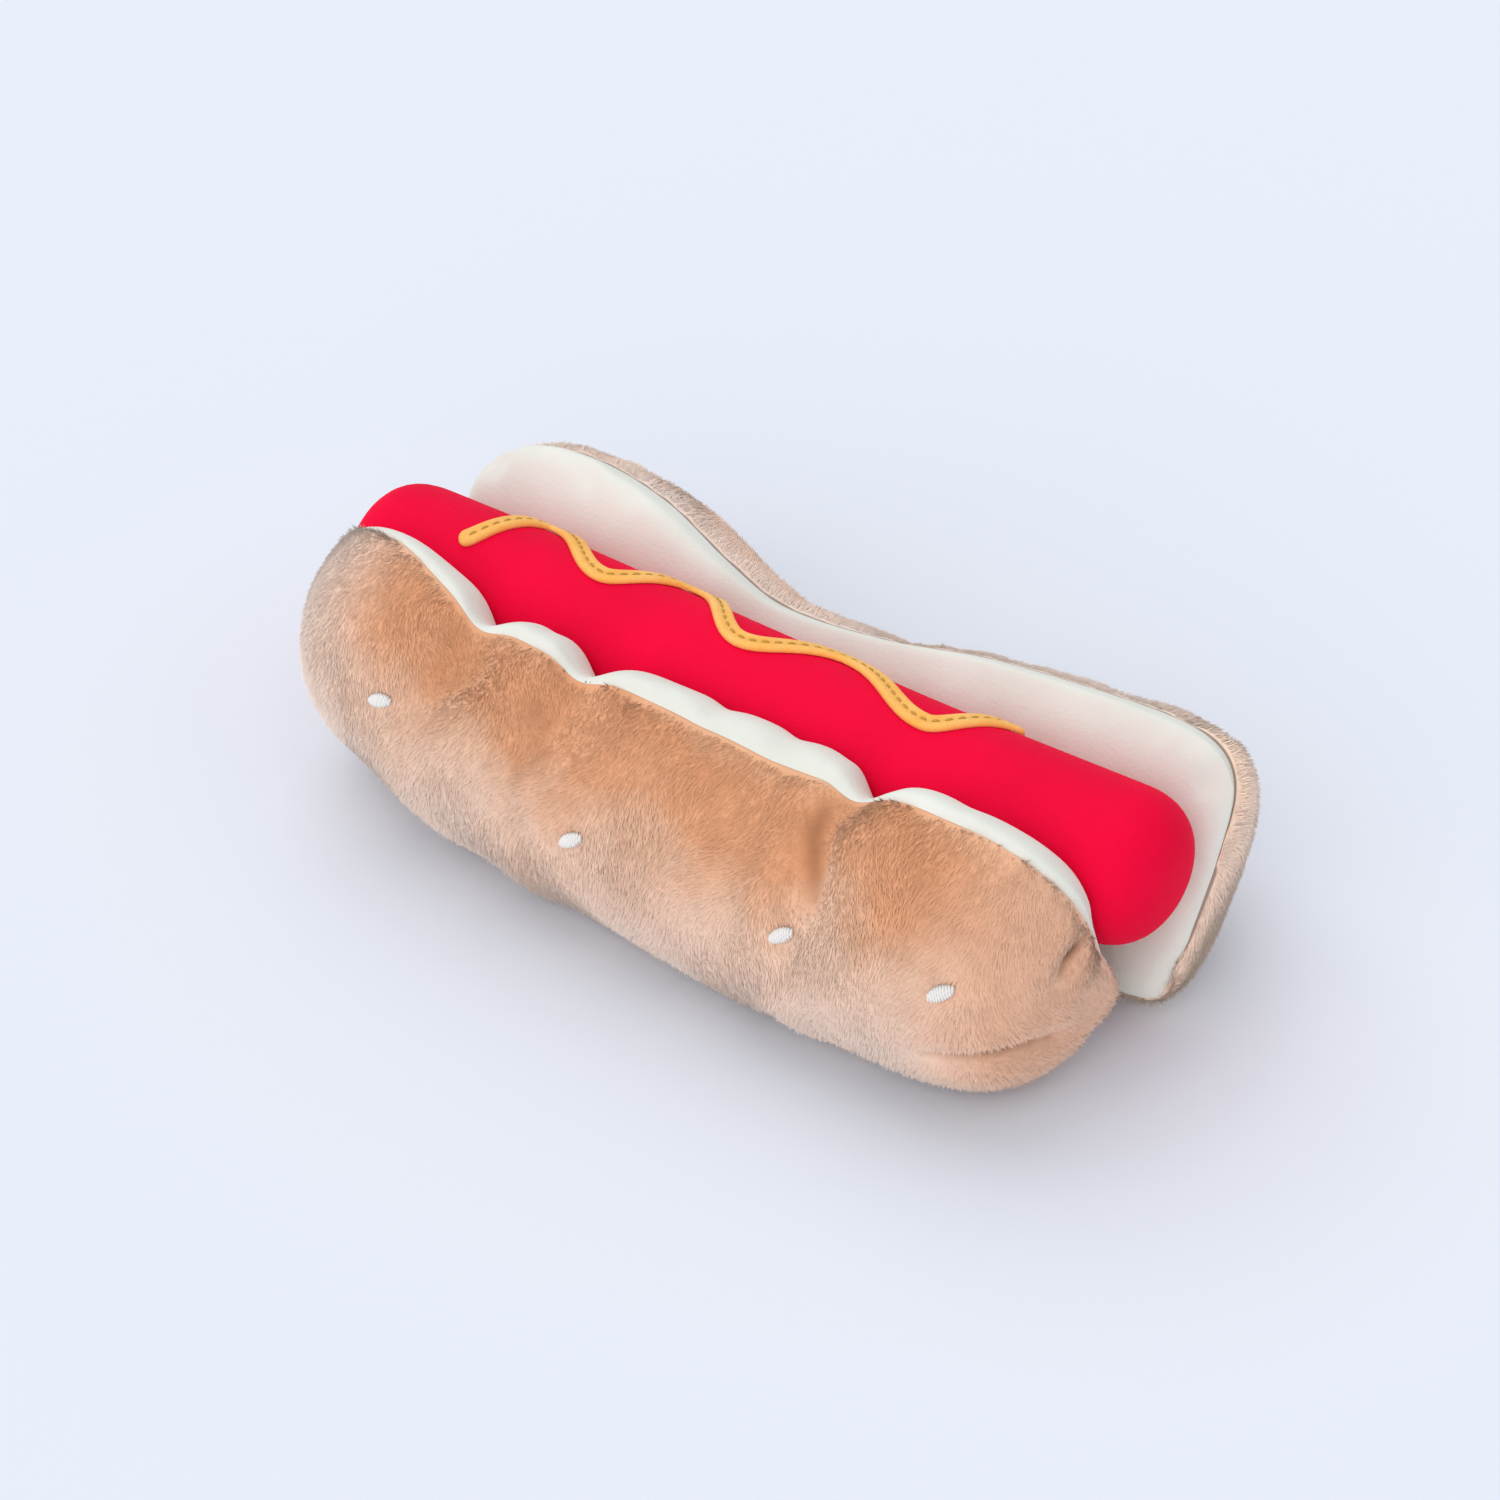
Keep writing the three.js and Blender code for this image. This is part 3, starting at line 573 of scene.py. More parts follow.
BACK = {
    "side": 1,
    "length": 0.202,
    "ahead": 0.0018,
    "rim_out": 0.032,
    "rim_height": 0.056,
    "rim": (
        (-1, 1.1, 0.93), (-0.75, 1.09, 1), (-0.5, 0.98, 0.99), (-0.3, 0.88, 0.88),
        (-0.15, 0.86, 0.8), (0.1, 0.92, 0.82), (0.35, 0.97, 0.91), (0.65, 1, 0.97), (1, 1.04, 1.02),
    ),
    "bulge": 0.036,
    "bulges": ((-1, 1), (0, 1), (0.6, 1), (1, 0.86)),
    "puff": 0.004,
    "puffs": ((-1, 1), (0, 1), (1, 1)),
    "fullness": 0.72,
    "foot_power": 12,
    "seams": ((-1, -0.05), (-0.6, -0.04), (-0.2, -0.03), (0.1, -0.05), (0.6, -0.06), (1, -0.06)),
    "tuck": 0.002,
    "lining_cut": (0.0595, 0.202),
    "tacked": 0,
}


def row_value(rows, place, column):
    """A smooth curve through a row of given points, read at many places."""
    rows = np.array(rows, float)
    last = len(rows) - 1
    at = np.clip(place, rows[0, 0], rows[last, 0])
    i = np.clip(np.searchsorted(rows[:, 0], at, side="left") - 1, 0, last - 1)
    before = np.maximum(np.arange(last + 1) - 1, 0)
    after = np.minimum(np.arange(last + 1) + 1, last)
    slope = (rows[after, column] - rows[before, column]) / (rows[after, 0] - rows[before, 0])
    span = rows[i + 1, 0] - rows[i, 0]
    t = (at - rows[i, 0]) / span
    rise = rows[i + 1, column] - rows[i, column]
    start = slope[i] * span
    end = slope[i + 1] * span
    bend = 3 * rise - 2 * start - end + t * (start + end - 2 * rise)
    return rows[i, column] + t * (start + t * bend)


def pressed_up(value, floor, softness):
    over = value - floor
    return floor + (over + np.hypot(over, softness)) / 2


def bun_points(half, along, round_at, plush, inset):
    """Points of one half of the bun: round_at is 0 at the rim, pi at the hinge and 2 pi at the rim
    again over the inner side, plush is 1 for points that stay behind the lining, and inset is how
    deep they lie under the outside."""
    x = half["ahead"] + along * (half["length"] / 2 - inset)
    outside_x = half["ahead"] + along * half["length"] / 2
    pulls = [bell(outside_x - place, TACK_WIDTH) for place in TACK_PLACES]
    pull = half["tacked"] * np.max(pulls, axis=0)
    folds = [share * bell(outside_x - place, PUCKER_WIDTH) for place, share in PUCKERS]
    pinch = np.maximum(TACK_PINCH * pull, half["tacked"] * np.max(folds, axis=0))
    rim_y = half["side"] * half["rim_out"] * row_value(half["rim"], along, 1)
    rim_z = half["rim_height"] * row_value(half["rim"], along, 2) - TACK_DROP * pull
    wall = np.hypot(rim_y, rim_z - HINGE_HEIGHT)
    up_y = rim_y / wall
    up_z = (rim_z - HINGE_HEIGHT) / wall
    foot = HINGE_SEAM_RADIUS + SEAT_GAP
    middle = (foot + wall) / 2
    reach = (wall - foot) / 2 - inset
    closing = np.maximum(1 - np.abs(along) ** END_POWER, 0)
    across = np.cos(round_at)
    taper = closing ** (1 / np.where(across > 0, RIM_POWER, half["foot_power"]))
    width = np.sign(across) * np.abs(across) ** CROSS_WIDTH_POWER * reach * taper
    rim_puff = half["puff"] * row_value(half["puffs"], along, 1) * (1 - pinch)
    puff = FLAT_PUFF + (rim_puff - FLAT_PUFF) * smooth_share(across, PUFF_START, PUFF_FULL)
    bulge = half["bulge"] * row_value(half["bulges"], along, 1)
    height = np.where(np.sin(round_at) >= 0, bulge - inset, inset - puff)
    depth = height * np.abs(np.sin(round_at)) ** half["fullness"] * np.sqrt(closing)
    y = up_y * (middle + width) + half["side"] * up_z * depth
    z = HINGE_HEIGHT + up_z * (middle + width) - half["side"] * up_y * depth
    bed_x = np.maximum(np.abs(outside_x) - BED_MARGIN, 0)
    bed = sausage_radius(bed_x) + SEAT_GAP + (LINING_THICKNESS + SEAM_GAP) * plush + inset
    axis = sausage_axis(outside_x)
    away = np.hypot(y, z - axis)
    pressed = pressed_up(away, bed, SEAT_GAP)
    y = y * pressed / away
    z = axis + (z - axis) * pressed / away
    settled = pressed_up(z - inset, 0, FLOOR_SOFTNESS) - FLOOR_CUT
    return np.stack((x, y, np.maximum(settled, 0) + inset), 1) + MIDDLE


def panel_points(half, plush, depth, tuck, border):
    """The laying of a flat grid on one side of a half: evenly along and round it, at a depth under
    the outside, with its border tucked deeper into the seam."""
    ends = (0, math.pi) if plush else (math.pi, 2 * math.pi)
    places = even_places(
        lambda a: bun_points(half, a, np.full_like(a, sum(ends) / 2), plush, 0), -0.99999, 0.99999
    )
    turns = even_places(lambda r: bun_points(half, np.zeros_like(r), r, plush, 0), *ends)

    def points(share, down):
        edge = np.minimum(np.minimum(down, 1 - down), np.minimum(share, 1 - share) * 3)
        under = depth + (tuck - depth) * (1 - smooth_share(edge, 0, border))
        along = places(share)
        seam = row_value(half["seams"], along, 1) * (1 - down if plush else down) ** 2
        return bun_points(half, along, turns(down) - seam, plush * smooth_share(edge, 0, 0.1), under)

    return points


def mesh_points(mesh, what="co"):
    values = np.zeros(len(mesh.vertices) * 3)
    mesh.vertices.foreach_get(what, values)
    return values.reshape(-1, 3)


def move_points(mesh, points):
    mesh.vertices.foreach_set("co", points.ravel())
    mesh.update()


def settle(piece, slack, pressure, most):
    """Lets a stuffed panel's cloth swell and wrinkle under its filling, held along its seams."""
    start = mesh_points(piece.data)
    trial = bpy.data.objects.new("trial", piece.data.copy())
    trial.data.transform(Matrix.Scale(SETTLE_SCALE, 4))
    scene.collection.objects.link(trial)
    bm = bmesh.new()
    bm.from_mesh(trial.data)
    sewn = [v.index for v in bm.verts if v.is_boundary]
    bm.free()
    trial.vertex_groups.new(name="seam").add(sewn, 1.0, "REPLACE")
    cloth = trial.modifiers.new("cloth", "CLOTH")
    for key, value in CLOTH.items():
        setattr(cloth.settings, key, value)
    cloth.settings.shrink_min = -slack
    cloth.settings.uniform_pressure_force = pressure
    cloth.settings.effector_weights.gravity = 0
    cloth.point_cache.frame_start = 1
    cloth.point_cache.frame_end = SETTLE_STEPS
    for step in range(1, SETTLE_STEPS + 1):
        scene.frame_set(step)
    swollen = trial.evaluated_get(bpy.context.evaluated_depsgraph_get())
    moved = mesh_points(swollen.data) / SETTLE_SCALE - start
    bpy.data.objects.remove(trial)
    scene.frame_set(1)
    reach = np.maximum(np.linalg.norm(moved, axis=1), 1e-9)
    moved *= (most * np.tanh(reach / most) / reach)[:, None]
    move_points(piece.data, start + moved)


def refine(piece):
    """Rounds a settled panel once and keeps the result as its mesh."""
    rounding = piece.modifiers.new("rounding", "SUBSURF")
    rounding.levels = rounding.render_levels = 1
    fine = piece.evaluated_get(bpy.context.evaluated_depsgraph_get())
    mesh = bpy.data.meshes.new_from_object(fine)
    mesh.name = piece.name
    piece.modifiers.clear()
    piece.data = mesh
    mesh.polygons.foreach_set("use_smooth", [True] * len(mesh.polygons))


fleece, tree = new_material("cream_fleece")
nap = piece_texture(tree, "Noise", Scale=1100.0, Detail=3.0, Roughness=0.65)
clouds = piece_texture(tree, "Noise", Scale=30.0, Detail=3.0, Roughness=0.6)
shade = colour_ramp(tree, clouds, ((0.3, (0.75, 0.745, 0.67, 1)), (0.7, (0.835, 0.84, 0.775, 1))))
surface = {"Specular IOR Level": 0.1, "Sheen Weight": 0.2, "Sheen Tint": (1, 0.98, 0.92, 1)}
finish_material(tree, shade, nap, 0.45, 0.0003, Roughness=0.95, **surface)

for name, half in (("front", FRONT), ("back", BACK)):
    laid = panel_points(half, False, 0, half["tuck"], 0.05)
    lining = cloth_piece(f"{name}_lining", 130, 36, laid, turned=half["side"] < 0)
    settle(lining, 0.02, 1.5, 0.0007)
    points = mesh_points(lining.data) - MIDDLE
    bed_x = np.maximum(np.abs(points[:, 0]) - BED_MARGIN, 0)
    axis = sausage_axis(points[:, 0])
    away = np.hypot(points[:, 1], points[:, 2] - axis)
    kept = np.maximum(away, sausage_radius(bed_x) + SEAT_GAP) / away
    points[:, 1] *= kept
    points[:, 2] = axis + (points[:, 2] - axis) * kept
    move_points(lining.data, points + MIDDLE)
    refine(lining)
    lining.data.materials.append(fleece)
    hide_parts(f"{name}_lining_panel")
    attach(lining, f"{name}_half")

# Bun covers: tan short-pile plush, sewn to the linings round the rim and ends and filled firm. The
# skin here is the knitted ground of the plush, which lies a pile's depth under the outside.
PILE_DEPTH = 0.0012
# Folds pressed into the front cover: each is its width, the strength of its painted shade, and a line of
# places with their depths.
FRONT_FOLDS = (
    # Along the lower right end, where the end is gathered.
    (0.0027, 1.0, (
        (0.074, -0.0515, 0.0185, 0.0004), (0.0775, -0.0505, 0.019, 0.0014),
        (0.084, -0.049, 0.02, 0.002), (0.088, -0.0455, 0.0205, 0.0022),
        (0.0915, -0.0415, 0.0205, 0.0022), (0.093, -0.037, 0.02, 0.002),
        (0.095, -0.03, 0.018, 0.0016), (0.0955, -0.025, 0.0165, 0.0002),
    )),
    # Pucker at the top of the right end.
    (0.0024, 1.0, (
        (0.096, -0.0225, 0.039, 0.0014), (0.096, -0.025, 0.038, 0.0018),
        (0.0955, -0.0275, 0.037, 0.0018), (0.0955, -0.0295, 0.0345, 0.0014),
        (0.095, -0.0315, 0.0325, 0.0004),
    )),
    # Down from the right tack.
    (0.0044, 0.85, (
        (0.0435, -0.028, 0.0515, 0.0016), (0.0405, -0.031, 0.0505, 0.002),
        (0.041, -0.0365, 0.0475, 0.0022), (0.044, -0.0415, 0.044, 0.0022),
        (0.047, -0.0465, 0.041, 0.0018), (0.051, -0.05, 0.038, 0.0008),
    )),
    # Down and left from the left tack.
    (0.0048, 0.7, (
        (-0.0465, -0.029, 0.0515, 0.0014), (-0.0455, -0.036, 0.048, 0.002),
        (-0.051, -0.0405, 0.0435, 0.0018), (-0.0585, -0.0445, 0.0425, 0.0004),
    )),
    # Across below the left and middle tacks.
    (0.005, 0.7, (
        (-0.035, -0.038, 0.048, 0.0004), (-0.0275, -0.038, 0.046, 0.0016),
        (-0.0195, -0.0395, 0.0445, 0.0008),
    )),
    # Below the middle tack.
    (0.005, 0.6, (
        (-0.018, -0.032, 0.05, 0.0012), (-0.0155, -0.0375, 0.047, 0.0016),
        (-0.014, -0.0425, 0.0435, 0.0004),
    )),
)
# Tans down each panel from its rim. The pale first stop is a painted highlight along the rim, and the
# paler stops further down are partly the plush's own lighter tone and partly painted light, the floor's
# bounce and the pile's sheen.
FRONT_TANS = (
    (0.14, (0.79, 0.43, 0.25, 1)),
    (0.22, (0.75, 0.35, 0.18, 1)),
    (0.34, (0.76, 0.37, 0.20, 1)),
    (0.46, (0.82, 0.53, 0.38, 1)),
    (0.66, (0.85, 0.64, 0.53, 1)),
)
BACK_TANS = (
    (0.12, (0.96, 0.76, 0.66, 1)),
    (0.26, (0.82, 0.55, 0.42, 1)),
    (0.42, (0.77, 0.42, 0.26, 1)),
    (0.54, (0.82, 0.53, 0.38, 1)),
    (0.7, (0.85, 0.64, 0.53, 1)),
)
# End tans, for the left and then the right end of each panel. The pale left ends are partly the plush's
# own tone and partly painted light on that end.
FRONT_ENDS = ((0.9, 0.7, 0.59, 1), (0.84, 0.49, 0.33, 1))
BACK_ENDS = ((0.88, 0.68, 0.57, 1), (0.96, 0.71, 0.56, 1))
LEFT_END = (0.21, 0.08)
RIGHT_END = (0.77, 0.88)
SEAM_BARE = 0.012
END_TO_RIM = 3.5
SEAM_REACH = 0.004
FOLD_START = 0.004
FOLD_LIP = 0.4
FOLD_LIP_AWAY = 2.4
FOLD_LIP_WIDTH = 1.3
FOLD_DEPTH_REACH = 0.01
# Painted shade in folds: how much a crease darkens the pile's colour, and the tint that warms it there.
CREASE_SHADE = 0.82
CREASE_SHADE_TINT = (1, 0.82, 0.64, 1)


def border_edges(mesh):
    bm = bmesh.new()
    bm.from_mesh(mesh)
    edges = np.array([[v.index for v in e.verts] for e in bm.edges if e.is_boundary])
    bm.free()
    return edges


def find_near(places, points):
    """The nearest of some places to each point, and how far it is."""
    tree = KDTree(len(places))
    for i, place in enumerate(places):
        tree.insert(place, i)
    tree.balance()
    found = [tree.find(point) for point in points]
    return np.array([f[1] for f in found]), np.array([f[2] for f in found])


def meet_lining(piece, lining):
    """Brings a cover's sewn border onto its lining's border, so that the seam between them is shut."""
    points = mesh_points(piece.data)
    sewn = np.unique(border_edges(piece.data))
    line = mesh_points(lining.data)[border_edges(lining.data)]
    run = line[:, 1] - line[:, 0]
    gap = points[sewn][:, None] - line[:, 0]
    share = np.clip((gap * run).sum(2) / np.maximum((run * run).sum(1), 1e-18), 0, 1)
    way = share[:, :, None] * run - gap
    nearest = np.linalg.norm(way, axis=2).argmin(1)
    shift = way[np.arange(len(sewn)), nearest]
    which, away = find_near(points[sewn], points)
    points += (1 - smooth_share(away, 0, SEAM_REACH))[:, None] * shift[which]
    move_points(piece.data, points)


def read_crease(mesh):
    """How deep in a fold each point of a panel lies, from 0 to 1, times the strength of its fold's
    painted shade.
    """
    crease = np.zeros(len(mesh.vertices))
    if "crease" in mesh.attributes:
        mesh.attributes["crease"].data.foreach_get("value", crease)
    return crease


def press_fold(piece, line, width, shade):
    """Presses a fold into a panel along a line of places with depths, and lifts the cloth beside it.
    The panel's sewn border stays where it is, and shade is how strong the painted shade in the fold is."""
    points = mesh_points(piece.data)
    out = mesh_points(piece.data, "normal")
    from_seam = find_near(points[np.unique(border_edges(piece.data))], points)[1]
    line = np.array(line)
    nearest = np.full(len(points), np.inf)
    depth = np.zeros(len(points))
    for start, end in zip(line, line[1:]):
        run = end[:3] - start[:3]
        t = np.clip((points - start[:3]) @ run / (run @ run), 0, 1)
        gap = points - start[:3] - t[:, None] * run
        over = (gap * out).sum(1)
        away = np.linalg.norm(gap - over[:, None] * out, axis=1)
        away = np.where(np.abs(over) < FOLD_DEPTH_REACH, away, 1)
        closer = away < nearest
        nearest = np.where(closer, away, nearest)
        depth = np.where(closer, start[3] + t * (end[3] - start[3]), depth)
    lip = bell(nearest - FOLD_LIP_AWAY * width, FOLD_LIP_WIDTH * width)
    sunk = bell(nearest, width) - FOLD_LIP * lip
    sunk *= smooth_share(from_seam, 0, FOLD_START)
    points -= out * (depth * sunk)[:, None]
    points[:, 2] = np.maximum(points[:, 2], 0.0002)
    move_points(piece.data, points)
    strength = shade * bell(nearest, width) * depth / line[:, 3].max()
    deepest = np.maximum(read_crease(piece.data), strength)
    crease = piece.data.attributes.get("crease") or piece.data.attributes.new("crease", "FLOAT", "POINT")
    crease.data.foreach_set("value", deepest)


def map_range(tree, value, before, after=(0, 1), way="SMOOTHSTEP"):
    node = add_node(tree, "ShaderNodeMapRange", interpolation_type=way)
    for socket, limit in zip(("From Min", "From Max", "To Min", "To Max"), before + after):
        node.inputs[socket].default_value = limit
    link(tree, value, node.inputs["Value"])
    return node.outputs["Result"]


def mix_colours(tree, share, first, second, way="MIX"):
    node = add_node(tree, "ShaderNodeMix", data_type="RGBA", blend_type=way)
    link(tree, share, node.inputs[0])
    link(tree, first, node.inputs[6])
    node.inputs[7].default_value = second
    return node.outputs[2]


def plush_material(name, stops, ends, seam, level, tip_light):
    """Brushed plush: deep tan in a band along the panel and paler beyond, by the panel's UV map, with
    a tan of its own at the left and right ends. The pale band by the rim is a painted highlight, and
    the paler tan further down and at the left ends is partly the plush's own tone and partly painted
    light. Folds get painted shade, darker and warmer, and the bare ground in the seam is seam times as
    light, a painted shade in the seam."""
    material, tree = new_material(name)
    coords = add_node(tree, "ShaderNodeTexCoord")
    parts = add_node(tree, "ShaderNodeSeparateXYZ")
    link(tree, coords.outputs["UV"], parts.inputs["Vector"])
    along, down = parts.outputs["X"], parts.outputs["Y"]
    wander = piece_texture(tree, "Noise", Scale=34.0, Detail=3.0, Roughness=0.6)
    tan = colour_ramp(tree, reckon(tree, "MULTIPLY_ADD", wander, 0.3, down), stops)
    for reach, colour in zip((LEFT_END, RIGHT_END), ends):
        tan = mix_colours(tree, map_range(tree, along, reach), tan, colour)
    # Random lighter and darker patches, partly the plush's own uneven tone and partly painted sheen of
    # its brushed pile; hair tips are made lighter by tip_light, a painted highlight.
    mottle = piece_texture(tree, "Noise", Scale=160.0, Detail=3.0, Roughness=0.6)
    brushed_sheen = map_range(tree, mottle, (0.3, 0.7), (0.93 * level, 1.07 * level), "LINEAR")
    tip = add_node(tree, "ShaderNodeAttribute", attribute_name="tip")
    lit = reckon(tree, "MULTIPLY_ADD", tip.outputs["Fac"], tip_light, brushed_sheen)
    # Painted shade: the pile is darker and warmer where the crease attribute says it lies in a fold.
    crease = add_node(tree, "ShaderNodeAttribute", attribute_name="crease")
    deepest = reckon(tree, "POWER", crease.outputs["Fac"], 3)
    crease_shaded = reckon(tree, "MULTIPLY_ADD", deepest, -CREASE_SHADE, lit)
    # Painted shade in the seam: the bare ground near the rim and ends is darkened to seam times its tan,
    # standing in for the shadow in the seam's groove.
    nearer = reckon(tree, "MINIMUM", along, reckon(tree, "SUBTRACT", 1, along))
    from_seam = reckon(tree, "MINIMUM", down, reckon(tree, "MULTIPLY", nearer, END_TO_RIM))
    sewn = map_range(tree, from_seam, (0.6 * SEAM_BARE, 1.4 * SEAM_BARE), (seam, 1))
    tint = add_node(tree, "ShaderNodeVectorMath", operation="SCALE")
    link(tree, mix_colours(tree, deepest, tan, CREASE_SHADE_TINT, "MULTIPLY"), tint.inputs[0])
    link(tree, reckon(tree, "MULTIPLY", crease_shaded, sewn), tint.inputs["Scale"])
    nubs = piece_texture(tree, "Noise", Scale=1600.0, Detail=2.0)
    surface = {"Specular IOR Level": 0.1, "Sheen Weight": 0.5, "Sheen Tint": (1, 0.88, 0.78, 1)}
    finish_material(tree, tint.outputs["Vector"], nubs, 0.3, 0.0003, Roughness=0.9, **surface)
    return material


plush_ground = plush_material("plush_ground", FRONT_TANS, FRONT_ENDS, 0.8, 1.05, 0)
back_ground = plush_material("back_plush_ground", BACK_TANS, BACK_ENDS, 0.35, 1.05, 0)
skins = {}
for name, half, ground, folds in (
    ("front", FRONT, plush_ground, FRONT_FOLDS),
    ("back", BACK, back_ground, ()),
):
    laid = panel_points(half, True, PILE_DEPTH, half["tuck"], 0.03)
    skin = cloth_piece(f"{name}_plush", 110, 46, laid, turned=half["side"] < 0)
    settle(skin, 0.035, 3.0, 0.0009)
    refine(skin)
    meet_lining(skin, bpy.data.objects[f"{name}_lining"])
    for width, shade, line in folds:
        press_fold(skin, line, width, shade)
    skin.data.materials.append(ground)
    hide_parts(f"{name}_plush_panel")
    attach(skin, f"{name}_half")
    skins[name] = skin

# Sesame seeds: white satin-stitched seeds on the plush. The shiny threads run side by side across each
# seed over a small pad, and the stitching draws the plush in round it.
SEED_LENGTH = 0.0056
SEED_WIDTH = 0.0032
SEED_RISE = 0.0011
SEED_PAD_RISE = 0.85
SEED_THREADS = 10
SEED_SLANT = 0.125
SEED_DENT = 0.0009
SEED_DENT_WIDTH = 0.0045
SEED_LIFT = 0.0004
FRONT_SEEDS = ((-0.622, 44, 35), (-0.072, 49, 35), (0.454, 45, 35), (0.833, 48, 35))
BACK_SEEDS = ((-0.7, 48, -35), (-0.25, 50, -35), (0.24, 48, -35), (0.7, 50, -35))
seed_thread = thread_material("white_satin_thread", (0.96, 0.92, 0.88, 1), 0.45)
seed_pad = thread_material("white_seed_pad", (0.80, 0.79, 0.76, 1), 0.6)
seed_places = {"front": [], "back": []}
for name, half, rows in (("front", FRONT, FRONT_SEEDS), ("back", BACK, BACK_SEEDS)):
    skin = skins[name]
    for number, (along, degrees, tilt) in enumerate(rows, 1):
        round_at = math.radians(degrees)
        spots = bun_points(
            half, np.array((along, along + 0.01, along)), round_at + np.array((0, 0, 0.01)), True, 0
        )
        centre, ahead, down = (Vector(spot) for spot in spots)
        ahead = (ahead - centre).normalized()
        outward = ahead.cross((down - centre).normalized()).normalized()
        if outward.y * half["side"] < 0:
            outward.negate()
        length = Matrix.Rotation(half["side"] * -math.radians(tilt), 3, outward) @ ahead
        side = outward.cross(length).normalized()
        points = mesh_points(skin.data)
        away = np.linalg.norm(points - np.array(centre), axis=1)
        normals = mesh_points(skin.data, "normal")
        points -= normals * (SEED_DENT * bell(away, SEED_DENT_WIDTH))[:, None]
        move_points(skin.data, points)
        sunk = Vector(points[away.argmin()]) - centre
        base = np.array(centre + outward * (outward.dot(sunk) + SEED_LIFT))
        ways = np.array((length, side, outward))
        seed_places[name].append((base, ways))
        halves = np.array((SEED_LENGTH / 2, SEED_WIDTH / 2, SEED_RISE))[:, None] * ways
        bm = bmesh.new()
        bmesh.ops.create_uvsphere(bm, u_segments=20, v_segments=10, radius=1)
        for vert in bm.verts:
            u, v, w = vert.co
            vert.co = base + np.dot((u, v, max(w, -0.3) * SEED_PAD_RISE), halves)
        pad = piece_from(f"{name}_half_seed_pad_{number}", bm, seed_pad)
        threads = []
        for k in range(SEED_THREADS):
            u = (k + 0.5) / SEED_THREADS * 2 - 1
            reach = math.sqrt(1 - (u * 0.96) ** 2)
            sweep = np.linspace(-1, 1, 9)
            rise = np.sqrt(np.maximum(1 - sweep**2, 0)) * reach * 0.9 + 0.08
            line = np.stack((u + SEED_SLANT * sweep, sweep * reach * 1.04, rise), 1) @ halves
            threads.append((base + line, ways[2]))
        thread_width = SEED_LENGTH / SEED_THREADS * 1.15
        seed = sewn_piece(f"{name}_half_seed_{number}", seed_thread, thread_width, threads)
        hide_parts(f"{name}_sesame_seed_{number}")
        for part in (pad, seed):
            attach(part, f"{name}_half")

# Pile: the plush's short soft hairs, a dense under pile and a longer top pile. They lean down the
# panel, and where a hand has brushed them the lean turns, which makes lighter and darker patches.
HAIR_COUNT = 64000
HAIR_WIDTH = 0.0004
HAIR_ROOT = 0.0003
HAIR_ROUNDNESS = 0.6
FLOOR_HAIR = 0.00003
SEED_BARE = 0.37
CREASE_SHORTENS = 0.85
BRUSH_SCALE = 42
RUFFLE_SCALE = 60
front_pile = plush_material("plush_pile", FRONT_TANS, FRONT_ENDS, 0.8, 1.14, 0.1)
back_pile = plush_material("back_plush_pile", BACK_TANS, BACK_ENDS, 0.35, 1.14, 0.1)


def row_of_hairs(count):
    """One thin three-sided spike, copied until there are count of them, a step apart along X."""
    bm = bmesh.new()
    bmesh.ops.create_cone(
        bm, segments=3, radius1=0.3, radius2=0, depth=1, matrix=Matrix.Translation((0, 0, 0.5))
    )
    bmesh.ops.remove_doubles(bm, verts=bm.verts, dist=1e-5)
    made = 1
    while made < count:
        copy = bmesh.ops.duplicate(bm, geom=bm.verts[:] + bm.edges[:] + bm.faces[:])
        verts = [g for g in copy["geom"] if isinstance(g, bmesh.types.BMVert)]
        bmesh.ops.translate(bm, verts=verts, vec=(made, 0, 0))
        made *= 2
    surplus = [v for v in bm.verts if v.co.x > count - 0.5]
    bmesh.ops.delete(bm, geom=surplus, context="VERTS")
    return bm


